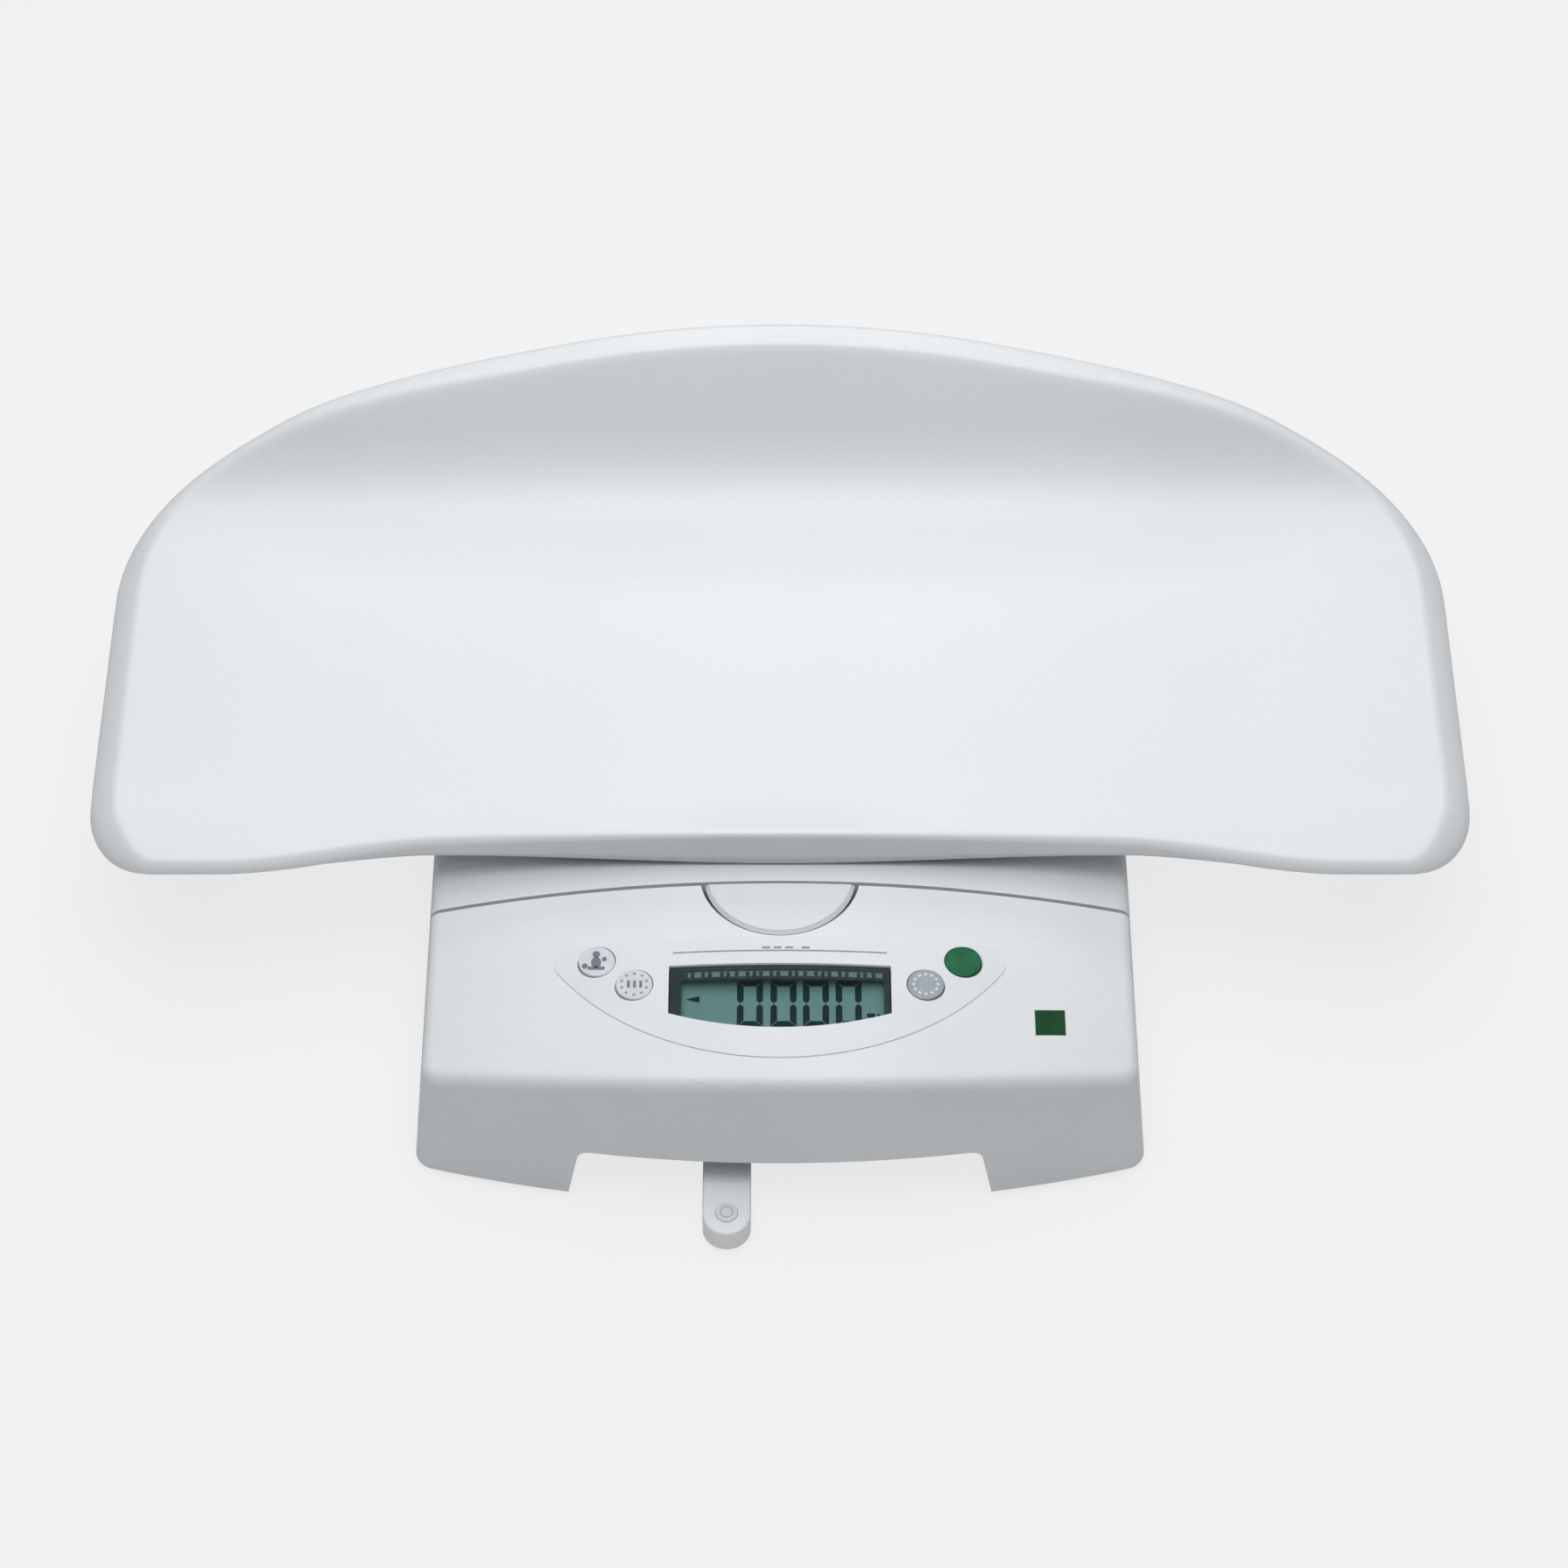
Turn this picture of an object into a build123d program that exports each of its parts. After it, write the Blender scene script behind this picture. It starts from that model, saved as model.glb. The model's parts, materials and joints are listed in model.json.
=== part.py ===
from build123d import *
from math import cos, pi, radians, sin, sqrt, tan
import os

# Baby scale: a curved lift-off tray on a low electronic platform scale.
# X runs to the right, Y to the back and Z up. While it is modelled, Y is zero at the foot of
# the front skirt; at the end everything moves so that the origin is under the middle of the box.

# Housing, the low base with the display
housing_half_width = 145.5
housing_depth = 282.0
skirt_height = 4.0
front_arc_radius = 571.0
front_corner_radius = 9.0
back_corner_radius = 24.0
side_draft = 5.5
front_draft = 3.0
crown_height = 81.3
crown_radius = 500.0
housing_wall = 2.8
top_edge_radius = 6.0
seam_y = 100.8
seam_gap = 1.6
side_seam_height = 44.0
bulkhead_foot = 52.0

# Hand recess under the front skirt
notch_half_top = 79.0
notch_half_foot = 84.0
notch_height = 31.0
notch_corner_radius = 5.0
recess_back = 46.0
recess_roof = 33.5

# Bottom plate
plate_underside = 10.0
plate_thickness = 3.0
plate_clearance = 0.35

# Tray
tray_half_width = 276.5
tray_front = 103.0
tray_back = 334.5
tray_back_radius = 1050.0
tray_back_corner = 75.0
tray_front_corner = 24.0
tray_waist_x = 225.0
tray_neck_x = 135.0
tray_neck_setback = 11.0
tray_centre_setback = 7.0
tray_floor = 96.0
tray_wall = 3.0
tray_rim_height = 164.5
tray_wall_slope = 60.5
tray_foot_radius = 38.0
tray_shoulder_radius = 6.0
tray_shelf = 3.0
tray_rim_round = 5.0
tray_flange = 13.0
lip_rise = 7.0
lip_droop = 9.0
lip_depth = 44.0
lip_end_x = 195.0

# Display window and overlay foil
window_half_width = 43.5
window_top = 61.4
window_corner = 38.5
window_bottom = 30.5
foil_bottom = 16.3
foil_top = 74.5
foil_arc_radius = 106.3
foil_tip_radius = 8.0
foil_thickness = 0.5

# Keys
key_diameter = 14.5
outer_key_x = 72.0
outer_key_y = 65.6
inner_key_x = 57.0
inner_key_y = 53.0

# Tray release lever, with its half-moon tab
tab_radius = 30.3
tab_front = 77.0
tab_gap = 1.8
lever_pivot_y = 121.0
lever_pivot_z = 70.0
lever_pin_diameter = 4.0

# Load cell
cell_length = 130.0
cell_width = 30.0
cell_height = 22.0
cell_front = 110.0

# Spirit level
level_x = -21.0
level_reach = 21.0
level_width = 19.0
level_top = 15.0
vial_diameter = 9.0
vial_y = -11.0

# Levelling feet
foot_x = 118.0
foot_front_y = 36.0
foot_back_y = 250.0
foot_pad_diameter = 24.0
stud_diameter = 8.0

# Batteries
cell_diameter = 14.5
cell_size = 50.5
battery_left = 38.0
battery_front = 118.0

# Fits
running_gap = 0.05
moving_gap = 0.35
bond_gap = 0.1
overrun = 20.0

origin_y = (tray_back - level_reach) / 2
parts = {}


def box(x0, x1, y0, y1, z0, z1):
    """A block between two corners."""
    middle = Pos((x0 + x1) / 2, (y0 + y1) / 2, (z0 + z1) / 2)
    return middle * Box(x1 - x0, y1 - y0, z1 - z0)


def post(x, y, z0, z1, radius):
    """An upright cylinder between two heights."""
    return Pos(x, y, (z0 + z1) / 2) * Cylinder(radius, z1 - z0)


def cross_rod(x0, x1, y, z, radius):
    """A cylinder along X between two ends."""
    return Pos((x0 + x1) / 2, y, z) * Rot(0, 90, 0) * Cylinder(radius, x1 - x0)


def joined(shapes):
    """One shape fused from a list."""
    whole = shapes[0]
    for shape in shapes[1:]:
        whole = whole + shape
    return whole


def group(shapes):
    """Separate solids kept side by side in one node."""
    return Compound(children=shapes)


def crown_z(x, drop=0.0):
    """Height of the crowned top of the housing at a distance from the middle."""
    radius = crown_radius - drop
    return crown_height - crown_radius + sqrt(radius**2 - x**2)


def crown(drop=0.0):
    """Everything under the crowned top, lowered by a drop."""
    length = housing_depth + overrun * 4
    axis = Pos(0, housing_depth / 2, crown_height - crown_radius) * Rot(90, 0, 0)
    return axis * Cylinder(crown_radius - drop, length)


def housing_outline(z, inset):
    """Plan of the housing at a height: a bowed front, straight sides and a straight back."""
    rise = z - skirt_height
    half = housing_half_width - rise * tan(radians(side_draft)) - inset
    front = rise * tan(radians(front_draft)) + inset
    back = housing_depth - rise * tan(radians(side_draft)) - inset
    radius = front_arc_radius - inset
    side_front = front + radius - sqrt(radius**2 - half**2)
    bow = ThreePointArc((-half, side_front), (0, front), (half, side_front))
    right = Line((half, side_front), (half, back))
    rear = Line((half, back), (-half, back))
    left = Line((-half, back), (-half, side_front))
    plan = make_face([bow, right, rear, left])
    plan = fillet(plan.vertices().group_by(Axis.Y)[-1], back_corner_radius - inset)
    plan = fillet(plan.vertices().group_by(Axis.Y)[0], front_corner_radius - inset)
    return Pos(0, 0, z) * plan


def housing_block(inset=0.0, foot=skirt_height):
    """The solid outer form of the housing, drawn in by an inset on every side but the bottom."""
    tall = loft([housing_outline(foot, inset), housing_outline(crown_height + overrun, inset)])
    body = tall & crown(inset)
    top = body.faces().sort_by(Axis.Z)[-1]
    return fillet(top.edges(), top_edge_radius - inset)


outer_block = housing_block()
inner_block = housing_block(housing_wall, skirt_height - overrun)
clear_block = housing_block(housing_wall + 2 * plate_clearance, skirt_height - overrun)


# Base shell
screw_boss_radius = 5.0
screw_hole_radius = 1.6
front_boss_x = 122.0
front_boss_y = 62.0
side_boss_x = 137.0
side_boss_front = 120.0
side_boss_back = 236.0
board_boss_radius = 4.0
board_top = 59.6
board_half = 92.0
board_front = 24.0
board_back = 82.0
board_margin = 6.0
key_hole_gap = 0.3
window_clearance = 0.25
plate_top = plate_underside + plate_thickness
key_places = {
    "key_start": (outer_key_x, outer_key_y),
    "key_hold": (inner_key_x, inner_key_y),
    "key_unit": (-inner_key_x, inner_key_y),
    "key_mother_child": (-outer_key_x, outer_key_y),
}
screw_places = [
    (-front_boss_x, front_boss_y),
    (front_boss_x, front_boss_y),
    (-side_boss_x, side_boss_front),
    (side_boss_x, side_boss_front),
    (-side_boss_x, side_boss_back),
    (side_boss_x, side_boss_back),
]
board_screw_places = [
    (side * (board_half - board_margin), y)
    for side in (-1, 1)
    for y in (board_front + board_margin, board_back - board_margin)
]


def window_prism(clearance, z0, z1):
    """The display window: straight at the back and bowed at the front."""
    half = window_half_width - clearance
    back = window_top - clearance
    corner = window_corner + clearance
    front = window_bottom + clearance
    bow = ThreePointArc((-half, corner), (0, front), (half, corner))
    right = Line((half, corner), (half, back))
    rear = Line((half, back), (-half, back))
    left = Line((-half, back), (-half, corner))
    return extrude(Pos(0, 0, z0) * make_face([bow, right, rear, left]), z1 - z0)


def notch_cutter():
    """The wide opening in the front skirt, with rounded upper corners."""
    outline = Polyline(
        (-notch_half_foot, skirt_height - overrun),
        (-notch_half_foot, skirt_height),
        (-notch_half_top, notch_height),
        (notch_half_top, notch_height),
        (notch_half_foot, skirt_height),
        (notch_half_foot, skirt_height - overrun),
        close=True,
    )
    face = make_face(outline)
    face = fillet(face.vertices().group_by(Axis.Y)[-1], notch_corner_radius)
    upright = Pos(0, recess_back / 2, 0) * Rot(90, 0, 0) * face
    return extrude(upright, recess_back, both=True)


def base_shell():
    """The moulded upper housing: panel, skirt and low side walls in one piece."""
    shell = outer_block - inner_block
    rear_top = box(
        -housing_half_width - overrun, housing_half_width + overrun,
        seam_y, housing_depth + overrun,
        side_seam_height, crown_height + overrun,
    )
    shell = shell - rear_top
    bulkhead = box(
        -housing_half_width, housing_half_width,
        seam_y - housing_wall, seam_y,
        bulkhead_foot, crown_height + overrun,
    )
    shell = shell + (outer_block & bulkhead)
    tall_bosses = [post(x, y, plate_top, crown_height, screw_boss_radius)
                   for x, y in screw_places[:2]]
    side_bosses = [post(x, y, plate_top, side_seam_height - housing_wall, screw_boss_radius)
                   for x, y in screw_places[2:]]
    board_bosses = [post(x, y, board_top, crown_height, board_boss_radius)
                    for x, y in board_screw_places]
    bosses = joined(tall_bosses + side_bosses + board_bosses)
    shell = shell + (bosses & housing_block(housing_wall / 2, skirt_height - overrun))
    holes = [post(x, y, 0, screw_depth + plate_top + running_gap, screw_hole_radius + running_gap)
             for x, y in screw_places]
    holes += [post(x, y, 0, board_top + board_screw_depth + running_gap,
                   board_screw_radius + running_gap) for x, y in board_screw_places]
    holes += [post(x, y, crown_height - overrun, crown_height + overrun,
                   key_diameter / 2 + key_hole_gap) for x, y in key_places.values()]
    shell = shell - joined(holes)
    shell = shell - window_prism(0, crown_height - overrun, crown_height + overrun)
    tab_opening = post(0, tab_front + tab_radius, bulkhead_foot + overrun / 2,
                       crown_height + overrun, tab_radius + tab_gap)
    shell = shell - tab_opening
    return shell - notch_cutter()


screw_depth = 18.0
board_screw_depth = 6.0
board_screw_radius = 1.2


# Bottom plate
nut_boss_radius = 8.0
nut_boss_height = 15.0
recess_wall = 2.5
door_width = 53.0
door_length = 112.0
door_gap = 0.4
door_pin_radius = 1.3
door_left = battery_left + recess_wall
door_front = battery_front + recess_wall
door_thickness = 2.6
foot_places = {
    "front_left": (-foot_x, foot_front_y),
    "front_right": (foot_x, foot_front_y),
    "back_left": (-foot_x, foot_back_y),
    "back_right": (foot_x, foot_back_y),
}
door_axis_y = door_front + door_length
door_axis_z = plate_underside + door_thickness / 2
door_pin_length = 3.0
rib_height = 6.0
rib_width = 2.0
mount_screw_radius = 3.0


def bottom_plate():
    """The chassis plate: flat behind, stepped up over the hand recess, with nut bosses."""
    outline = housing_outline(plate_top, housing_wall + plate_clearance)
    plate = extrude(Pos(0, 0, -plate_thickness) * outline, plate_thickness)
    hood = box(
        -notch_half_foot - recess_wall, notch_half_foot + recess_wall,
        -overrun, recess_back + recess_wall,
        plate_underside, recess_roof + recess_wall,
    ) & clear_block
    plate = plate + hood
    plate = plate - box(-notch_half_foot, notch_half_foot, -overrun, recess_back,
                        plate_underside - overrun, recess_roof)
    bosses = [post(x, y, plate_underside, plate_top + nut_boss_height, nut_boss_radius)
              for x, y in foot_places.values()]
    ribs = [box(x - rib_width / 2, x + rib_width / 2, recess_back, housing_depth - overrun,
                plate_top, plate_top + rib_height)
            for x in (-cell_width, battery_left - rib_width * 2)]
    plate = plate + joined(bosses + ribs)
    bores = [post(x, y, 0, crown_height, stud_diameter / 2 + running_gap)
             for x, y in foot_places.values()]
    bores += [post(x, y, 0, plate_top + overrun, screw_hole_radius + moving_gap)
              for x, y in screw_places]
    bores += [post(0, y, 0, plate_top + rib_height, mount_screw_radius + moving_gap)
              for y in cell_foot_screws]
    bores += [post(level_x, y, 0, plate_top + rib_height, level_screw_radius + running_gap)
              for y in level_screw_ys]
    doorway = box(door_left - door_gap, door_left + door_width + door_gap,
                  door_front - door_gap, door_axis_y + door_pin_radius + door_gap,
                  plate_underside - overrun, plate_top + overrun / 2)
    pin_slot = cross_rod(door_left - door_gap - door_pin_length,
                         door_left + door_width + door_gap + door_pin_length,
                         door_axis_y, door_axis_z, door_pin_radius + running_gap)
    return plate - joined(bores) - doorway - pin_slot


# Load cell and what carries it
cell_foot_height = 7.0
cell_foot_size = 34.0
cell_spacer = 3.0
spider_thickness = 6.0
spider_arm_width = 16.0
spider_x = 100.0
spider_front_y = 132.0
spider_back_y = 250.0
cell_screw_radius = 3.0
cell_screw_pitch = 16.0
gauge_hole_radius = 7.0
gauge_hole_pitch = 19.0
gauge_slot = 3.0
cell_bottom = plate_top + cell_foot_height
cell_top = cell_bottom + cell_height
cell_back = cell_front + cell_length
spider_bottom = cell_top + cell_spacer
spider_top = spider_bottom + spider_thickness
cell_foot_middle = cell_front + cell_foot_size / 2
cell_foot_screws = (cell_foot_middle - cell_screw_pitch / 2,
                    cell_foot_middle + cell_screw_pitch / 2)
cell_far_middle = cell_back - cell_foot_size / 2
cell_far_screws = (cell_far_middle - cell_screw_pitch / 2,
                   cell_far_middle + cell_screw_pitch / 2)
spider_corners = [(side * spider_x, y) for side in (-1, 1)
                  for y in (spider_front_y, spider_back_y)]
bush_radius = 8.0
bush_height = 2.0
bush_screw_radius = 2.0


def cell_foot():
    """The spacer block between the plate and the fixed end of the load cell."""
    half = cell_foot_size / 2
    block = box(-half, half, cell_foot_middle - half, cell_foot_middle + half,
                plate_top, cell_bottom)
    holes = [post(0, y, plate_top, cell_bottom, cell_screw_radius + moving_gap)
             for y in cell_foot_screws]
    return block - joined(holes)


def load_cell():
    """The single point load cell: a bar with two joined round holes across its middle."""
    half = cell_width / 2
    middle_y = (cell_front + cell_back) / 2
    middle_z = (cell_bottom + cell_top) / 2
    bar = box(-half, half, cell_front, cell_back, cell_bottom, cell_top)
    gauges = [cross_rod(-half - overrun, half + overrun, middle_y + side * gauge_hole_pitch / 2,
                        middle_z, gauge_hole_radius) for side in (-1, 1)]
    slot = box(-half - overrun, half + overrun,
               middle_y - gauge_hole_pitch / 2, middle_y + gauge_hole_pitch / 2,
               middle_z - gauge_slot / 2, middle_z + gauge_slot / 2)
    hole_depth = cell_height / 2 + running_gap
    hole_radius = cell_screw_radius + running_gap
    bolts = [post(0, y, cell_bottom, cell_bottom + hole_depth, hole_radius)
             for y in cell_foot_screws]
    bolts += [post(0, y, cell_top - hole_depth, cell_top, hole_radius)
              for y in cell_far_screws]
    return bar - joined(gauges + [slot] + bolts)


def spider():
    """The cast cross that carries the platform on the free end of the load cell."""
    hub_y = cell_far_middle
    half = cell_foot_size / 2
    hub = box(-half, half, hub_y - half, hub_y + half, cell_top, spider_top)
    arms = []
    for x, y in spider_corners:
        reach = Vector(x, y - hub_y, 0)
        angle = Vector(1, 0, 0).get_signed_angle(reach, Vector(0, 0, 1))
        arm = Pos(x / 2, (y + hub_y) / 2, spider_bottom + spider_thickness / 2)
        arms.append(arm * Rot(0, 0, angle) * Box(reach.length, spider_arm_width,
                                                 spider_thickness))
        arms.append(post(x, y, spider_bottom, spider_top, bush_radius + housing_wall))
    cast = joined([hub] + arms)
    holes = [post(x, y, 0, crown_height, bush_screw_radius + moving_gap)
             for x, y in spider_corners]
    holes += [post(0, y, 0, crown_height, cell_screw_radius + moving_gap)
              for y in cell_far_screws]
    return cast - joined(holes)


# Platform
platform_wall = 3.0
platform_front = seam_y + seam_gap
platform_foot = side_seam_height + seam_gap
platform_flange = 17.0
hook_half = 6.0
hook_slot_front = 7.0
hook_slot_back = 8.0
slot_side_gap = 1.5
arm_x = 15.0
arm_width = 6.0
arm_gap = 2.0
ear_x = 25.5
ear_thickness = 3.0
ear_radius = 5.0
saddle_foot_x = 88.0
saddle_foot_front = 148.0
saddle_foot_back = 232.0
peg_radius = 3.8
peg_length = 6.0
saddle_feet = [(side * saddle_foot_x, y) for side in (-1, 1)
               for y in (saddle_foot_front, saddle_foot_back)]


def platform():
    """The weighing platform: a crowned cover with a skirt, ribs, posts and two ears."""
    clip = box(
        -housing_half_width - overrun, housing_half_width + overrun,
        platform_front, housing_depth + overrun,
        platform_foot, crown_height + overrun,
    )
    hollow = housing_block(platform_wall, skirt_height - overrun)
    cover = (outer_block - hollow) & clip
    flange = box(
        -housing_half_width, housing_half_width,
        platform_front, platform_front + platform_wall,
        crown_height - platform_flange - overrun / 2, crown_height + overrun,
    )
    cover = cover + (outer_block & flange)
    inside = hollow & clip
    ribs = [box(x - rib_width / 2, x + rib_width / 2,
                platform_front, housing_depth,
                crown_z(x) - platform_wall - rib_height, crown_height)
            for x in (-spider_x / 2, spider_x / 2)]
    ribs += [box(-spider_x, spider_x, y - rib_width / 2, y + rib_width / 2,
                 crown_z(spider_x) - platform_wall, crown_height)
             for y in (saddle_foot_front + overrun, saddle_foot_back - overrun)]
    posts = [post(x, y, spider_top + bush_height, crown_height, bush_radius)
             for x, y in spider_corners]
    ears = []
    for side in (-1, 1):
        x0 = side * ear_x
        x1 = side * (ear_x + ear_thickness)
        ears.append(box(min(x0, x1), max(x0, x1), lever_pivot_y - ear_radius,
                        lever_pivot_y + ear_radius, lever_pivot_z, crown_height))
        ears.append(cross_rod(min(x0, x1), max(x0, x1), lever_pivot_y, lever_pivot_z,
                              ear_radius))
    cover = cover + (joined(ribs + posts + ears) & (inside + cover))
    holes = [post(x, y, 0, spider_top + bush_height + screw_depth + running_gap,
                  bush_screw_radius + running_gap) for x, y in spider_corners]
    holes += [post(x, y, crown_z(saddle_foot_x) - peg_length - platform_wall,
                   crown_height + overrun, peg_radius + moving_gap) for x, y in saddle_feet]
    holes.append(cross_rod(-ear_x - overrun, ear_x + overrun, lever_pivot_y, lever_pivot_z,
                           lever_pin_diameter / 2 + running_gap))
    slot = box(-hook_half - slot_side_gap, hook_half + slot_side_gap,
               lever_pivot_y - hook_slot_front, lever_pivot_y + hook_slot_back,
               lever_pivot_z, crown_height + overrun)
    arm_pass = box(-arm_x - arm_width / 2 - arm_gap, arm_x + arm_width / 2 + arm_gap,
                   platform_front - overrun, platform_front + platform_wall + overrun / 4,
                   crown_height - overrun * 2, crown_z(arm_x, platform_wall) - bond_gap)
    return cover - joined(holes) - slot - arm_pass


# Release lever
tab_thickness = 3.0
tab_drop = 0.5
tab_bevel = 1.4
tab_back_gap = 0.8
arm_height = 5.0
hub_radius = 4.6
hub_half = 18.5
hook_thickness = 5.0
hook_top = 90.6
nose_height = 2.8
nose_length = 3.0
spring_wire = 0.8
spring_turns = 4
spring_coil_radius = 3.3


def release_lever():
    """One moulding: half-moon tab, two arms, a hub and the hook that holds the tray."""
    disc = post(0, tab_front + tab_radius, crown_height - overrun, crown_height + overrun,
                tab_radius)
    front_half = box(-tab_radius, tab_radius, tab_front - overrun,
                     platform_front - tab_back_gap,
                     crown_height - overrun, crown_height + overrun)
    plate = (disc & front_half & crown(tab_drop)) - crown(tab_drop + tab_thickness)
    upper = plate.faces().filter_by(GeomType.CYLINDER).sort_by(Axis.Z)[-1]
    rim = upper.edges().sort_by(Axis.Y)[0]
    plate = chamfer(rim, tab_bevel)
    arm_top = crown_z(arm_x + arm_width / 2, tab_drop + tab_thickness)
    arms = []
    for side in (-1, 1):
        x = side * arm_x
        front = tab_front + tab_radius / 2
        arms.append(box(x - arm_width / 2, x + arm_width / 2, front, lever_pivot_y,
                        arm_top - arm_height, arm_top))
    over_tab = box(-tab_radius, tab_radius, tab_front, platform_front - tab_back_gap,
                   arm_top - arm_height, crown_height)
    fill = joined([box(side * arm_x - arm_width / 2, side * arm_x + arm_width / 2,
                       tab_front + tab_radius / 2, platform_front - tab_back_gap,
                       arm_top - arm_height, crown_height) for side in (-1, 1)])
    fill = fill & over_tab & crown(tab_drop + tab_thickness / 2)
    hub = cross_rod(-hub_half, hub_half, lever_pivot_y, lever_pivot_z, hub_radius)
    hook = box(-hook_half, hook_half, lever_pivot_y - hook_thickness / 2,
               lever_pivot_y + hook_thickness / 2, lever_pivot_z, hook_top)
    nose = box(-hook_half, hook_half, lever_pivot_y + hook_thickness / 2,
               lever_pivot_y + hook_thickness / 2 + nose_length,
               hook_top - nose_height, hook_top)
    lever = joined([plate, fill, hub, hook, nose] + arms)
    bore = cross_rod(-hub_half - overrun, hub_half + overrun, lever_pivot_y, lever_pivot_z,
                     lever_pin_diameter / 2 + running_gap)
    return lever - bore


def lever_pin():
    """The steel pin through both ears and the hub of the lever."""
    return cross_rod(-ear_x - ear_thickness, ear_x + ear_thickness,
                     lever_pivot_y, lever_pivot_z, lever_pin_diameter / 2)


def lever_spring():
    """A torsion spring of a few turns round the pin, beside the hub."""
    pitch = spring_wire + running_gap * 4
    length = pitch * spring_turns
    start = hub_half + (ear_x - hub_half - length) / 2
    path = Helix(pitch, length, spring_coil_radius)
    ring = Plane(origin=path @ 0, z_dir=path % 0) * Circle(spring_wire / 2)
    coil = sweep(ring, path)
    return Pos(start, lever_pivot_y, lever_pivot_z) * Rot(0, 90, 0) * coil


# Tray and the saddle under it
grid_x_margin = 20.0
grid_front_margin = 14.0
grid_back_margin = 16.0
grid_columns = 21
grid_lip_step = 5.0
grid_floor_step = 10.0
grid_wall_step = 4.0
flange_depth = 120.0
saddle_half = 104.0
saddle_front = 132.0
saddle_back = 246.0
saddle_plate = 2.5
saddle_wall = 3.0
saddle_corner = 14.0
saddle_floor = 83.5
saddle_foot_radius = 12.0
pad_height = 2.0
tray_boss_x = 60.0
tray_boss_radius = 4.5
tray_screw_radius = 1.5
catch_depth = 3.0
catch_half = 9.0
saddle_top = tray_floor - tray_wall - moving_gap
tray_boss_places = [(side * tray_boss_x, y) for side in (-1, 1)
                    for y in (saddle_foot_front, saddle_foot_back)]


def back_arc_y(x):
    """Where the bowed back of the tray lies at a distance from the middle."""
    return tray_back - tray_back_radius + sqrt(tray_back_radius**2 - x**2)


trough_slope = radians(tray_wall_slope)
round_radii = tray_foot_radius + tray_shoulder_radius
wall_gain = tray_rim_height - tray_floor - round_radii * (1 - cos(trough_slope))
wall_reach = wall_gain / tan(trough_slope)
foot_start = tray_back - tray_shelf - wall_reach - round_radii * sin(trough_slope)


def trough_rise(x, y):
    """Rise above the floor: a round foot, a steep wall and a shoulder that follows the bow."""
    end = back_arc_y(x) - tray_shelf
    if end <= foot_start or y <= foot_start:
        return 0.0
    turn = min((end - foot_start) / round_radii, sin(trough_slope))
    lift = 1 - sqrt(1 - turn**2)
    foot_end = foot_start + tray_foot_radius * turn
    shoulder_start = end - tray_shoulder_radius * turn
    if y < foot_end:
        return tray_foot_radius - sqrt(tray_foot_radius**2 - (y - foot_start)**2)
    if y < shoulder_start:
        return tray_foot_radius * lift + (y - foot_end) * tan(trough_slope)
    rim = round_radii * lift + (shoulder_start - foot_end) * tan(trough_slope)
    if y < end:
        drop = tray_shoulder_radius - sqrt(tray_shoulder_radius**2 - (end - y)**2)
        return rim - drop
    return rim


def lip_change(x, y):
    """The front edge rises in the middle and droops at both ends."""
    start = tray_front + tray_centre_setback / 2 + lip_depth
    if y >= start:
        return 0.0
    bell = (1 + cos(pi * min(abs(x) / lip_end_x, 1))) / 2
    share = (start - y) / lip_depth
    return (bell * (lip_rise + lip_droop) - lip_droop) * share**2


def tray_top(x, y):
    """Height of the tray's upper surface."""
    return tray_floor + trough_rise(x, y) + lip_change(x, y)


def spaced(start, end, step):
    """Even places from a start up to, but not including, an end."""
    count = round((end - start) / step)
    return [start + (end - start) * i / count for i in range(count)]


def tray_surface(height):
    """A smooth face over the whole tray, its height given by a function of the place."""
    x0 = -tray_half_width - grid_x_margin
    width = 2 * tray_half_width + 2 * grid_x_margin
    xs = [x0 + width * i / (grid_columns - 1) for i in range(grid_columns)]
    lip_end = tray_front + tray_centre_setback / 2 + lip_depth
    ys = spaced(tray_front - grid_front_margin, lip_end, grid_lip_step)
    ys += spaced(lip_end, foot_start, grid_floor_step)
    ys += spaced(foot_start, tray_back + grid_back_margin, grid_wall_step)
    points = [[Vector(x, y, height(x, y)) for y in ys] for x in xs]
    return Face.make_surface_from_array_of_points(points, tol=running_gap, min_deg=3, max_deg=3)


def tray_underside(x, y):
    """The upper surface moved down so that the wall is as thick across its slope."""
    slope = (tray_top(x, y + running_gap) - tray_top(x, y - running_gap)) / (2 * running_gap)
    return tray_top(x, y) - tray_wall * sqrt(1 + slope**2)


def tray_outline(inset):
    """Plan of the tray: a bowed back, straight ends and a waved front edge."""
    half = tray_half_width - inset
    back = tray_back - inset
    radius = tray_back_radius - inset
    front = tray_front + inset
    neck = front + tray_neck_setback
    middle = front + tray_centre_setback
    side_back = back - radius + sqrt(radius**2 - half**2)
    bow = ThreePointArc((-half, side_back), (0, back), (half, side_back))
    right = Line((half, side_back), (half, front))
    right_lobe = Line((half, front), (tray_waist_x, front))
    wave = Spline(
        (tray_waist_x, front), (tray_neck_x, neck), (0, middle), (-tray_neck_x, neck),
        (-tray_waist_x, front), tangents=((-1, 0), (-1, 0)),
    )
    left_lobe = Line((-tray_waist_x, front), (-half, front))
    left = Line((-half, front), (-half, side_back))
    plan = make_face([bow, right, right_lobe, wave, left_lobe, left])
    corners = plan.vertices().sort_by(Axis.X)
    ends = [corners[0], corners[1], corners[-1], corners[-2]]
    backs = [v for v in ends if v.Y > side_back - inset - tray_wall]
    plan = fillet(backs, tray_back_corner - inset)
    fronts = [v for v in plan.vertices() if v.Y < front + inset + tray_wall
              and abs(v.X) > tray_waist_x + tray_wall]
    return fillet(fronts, tray_front_corner - inset)


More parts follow.
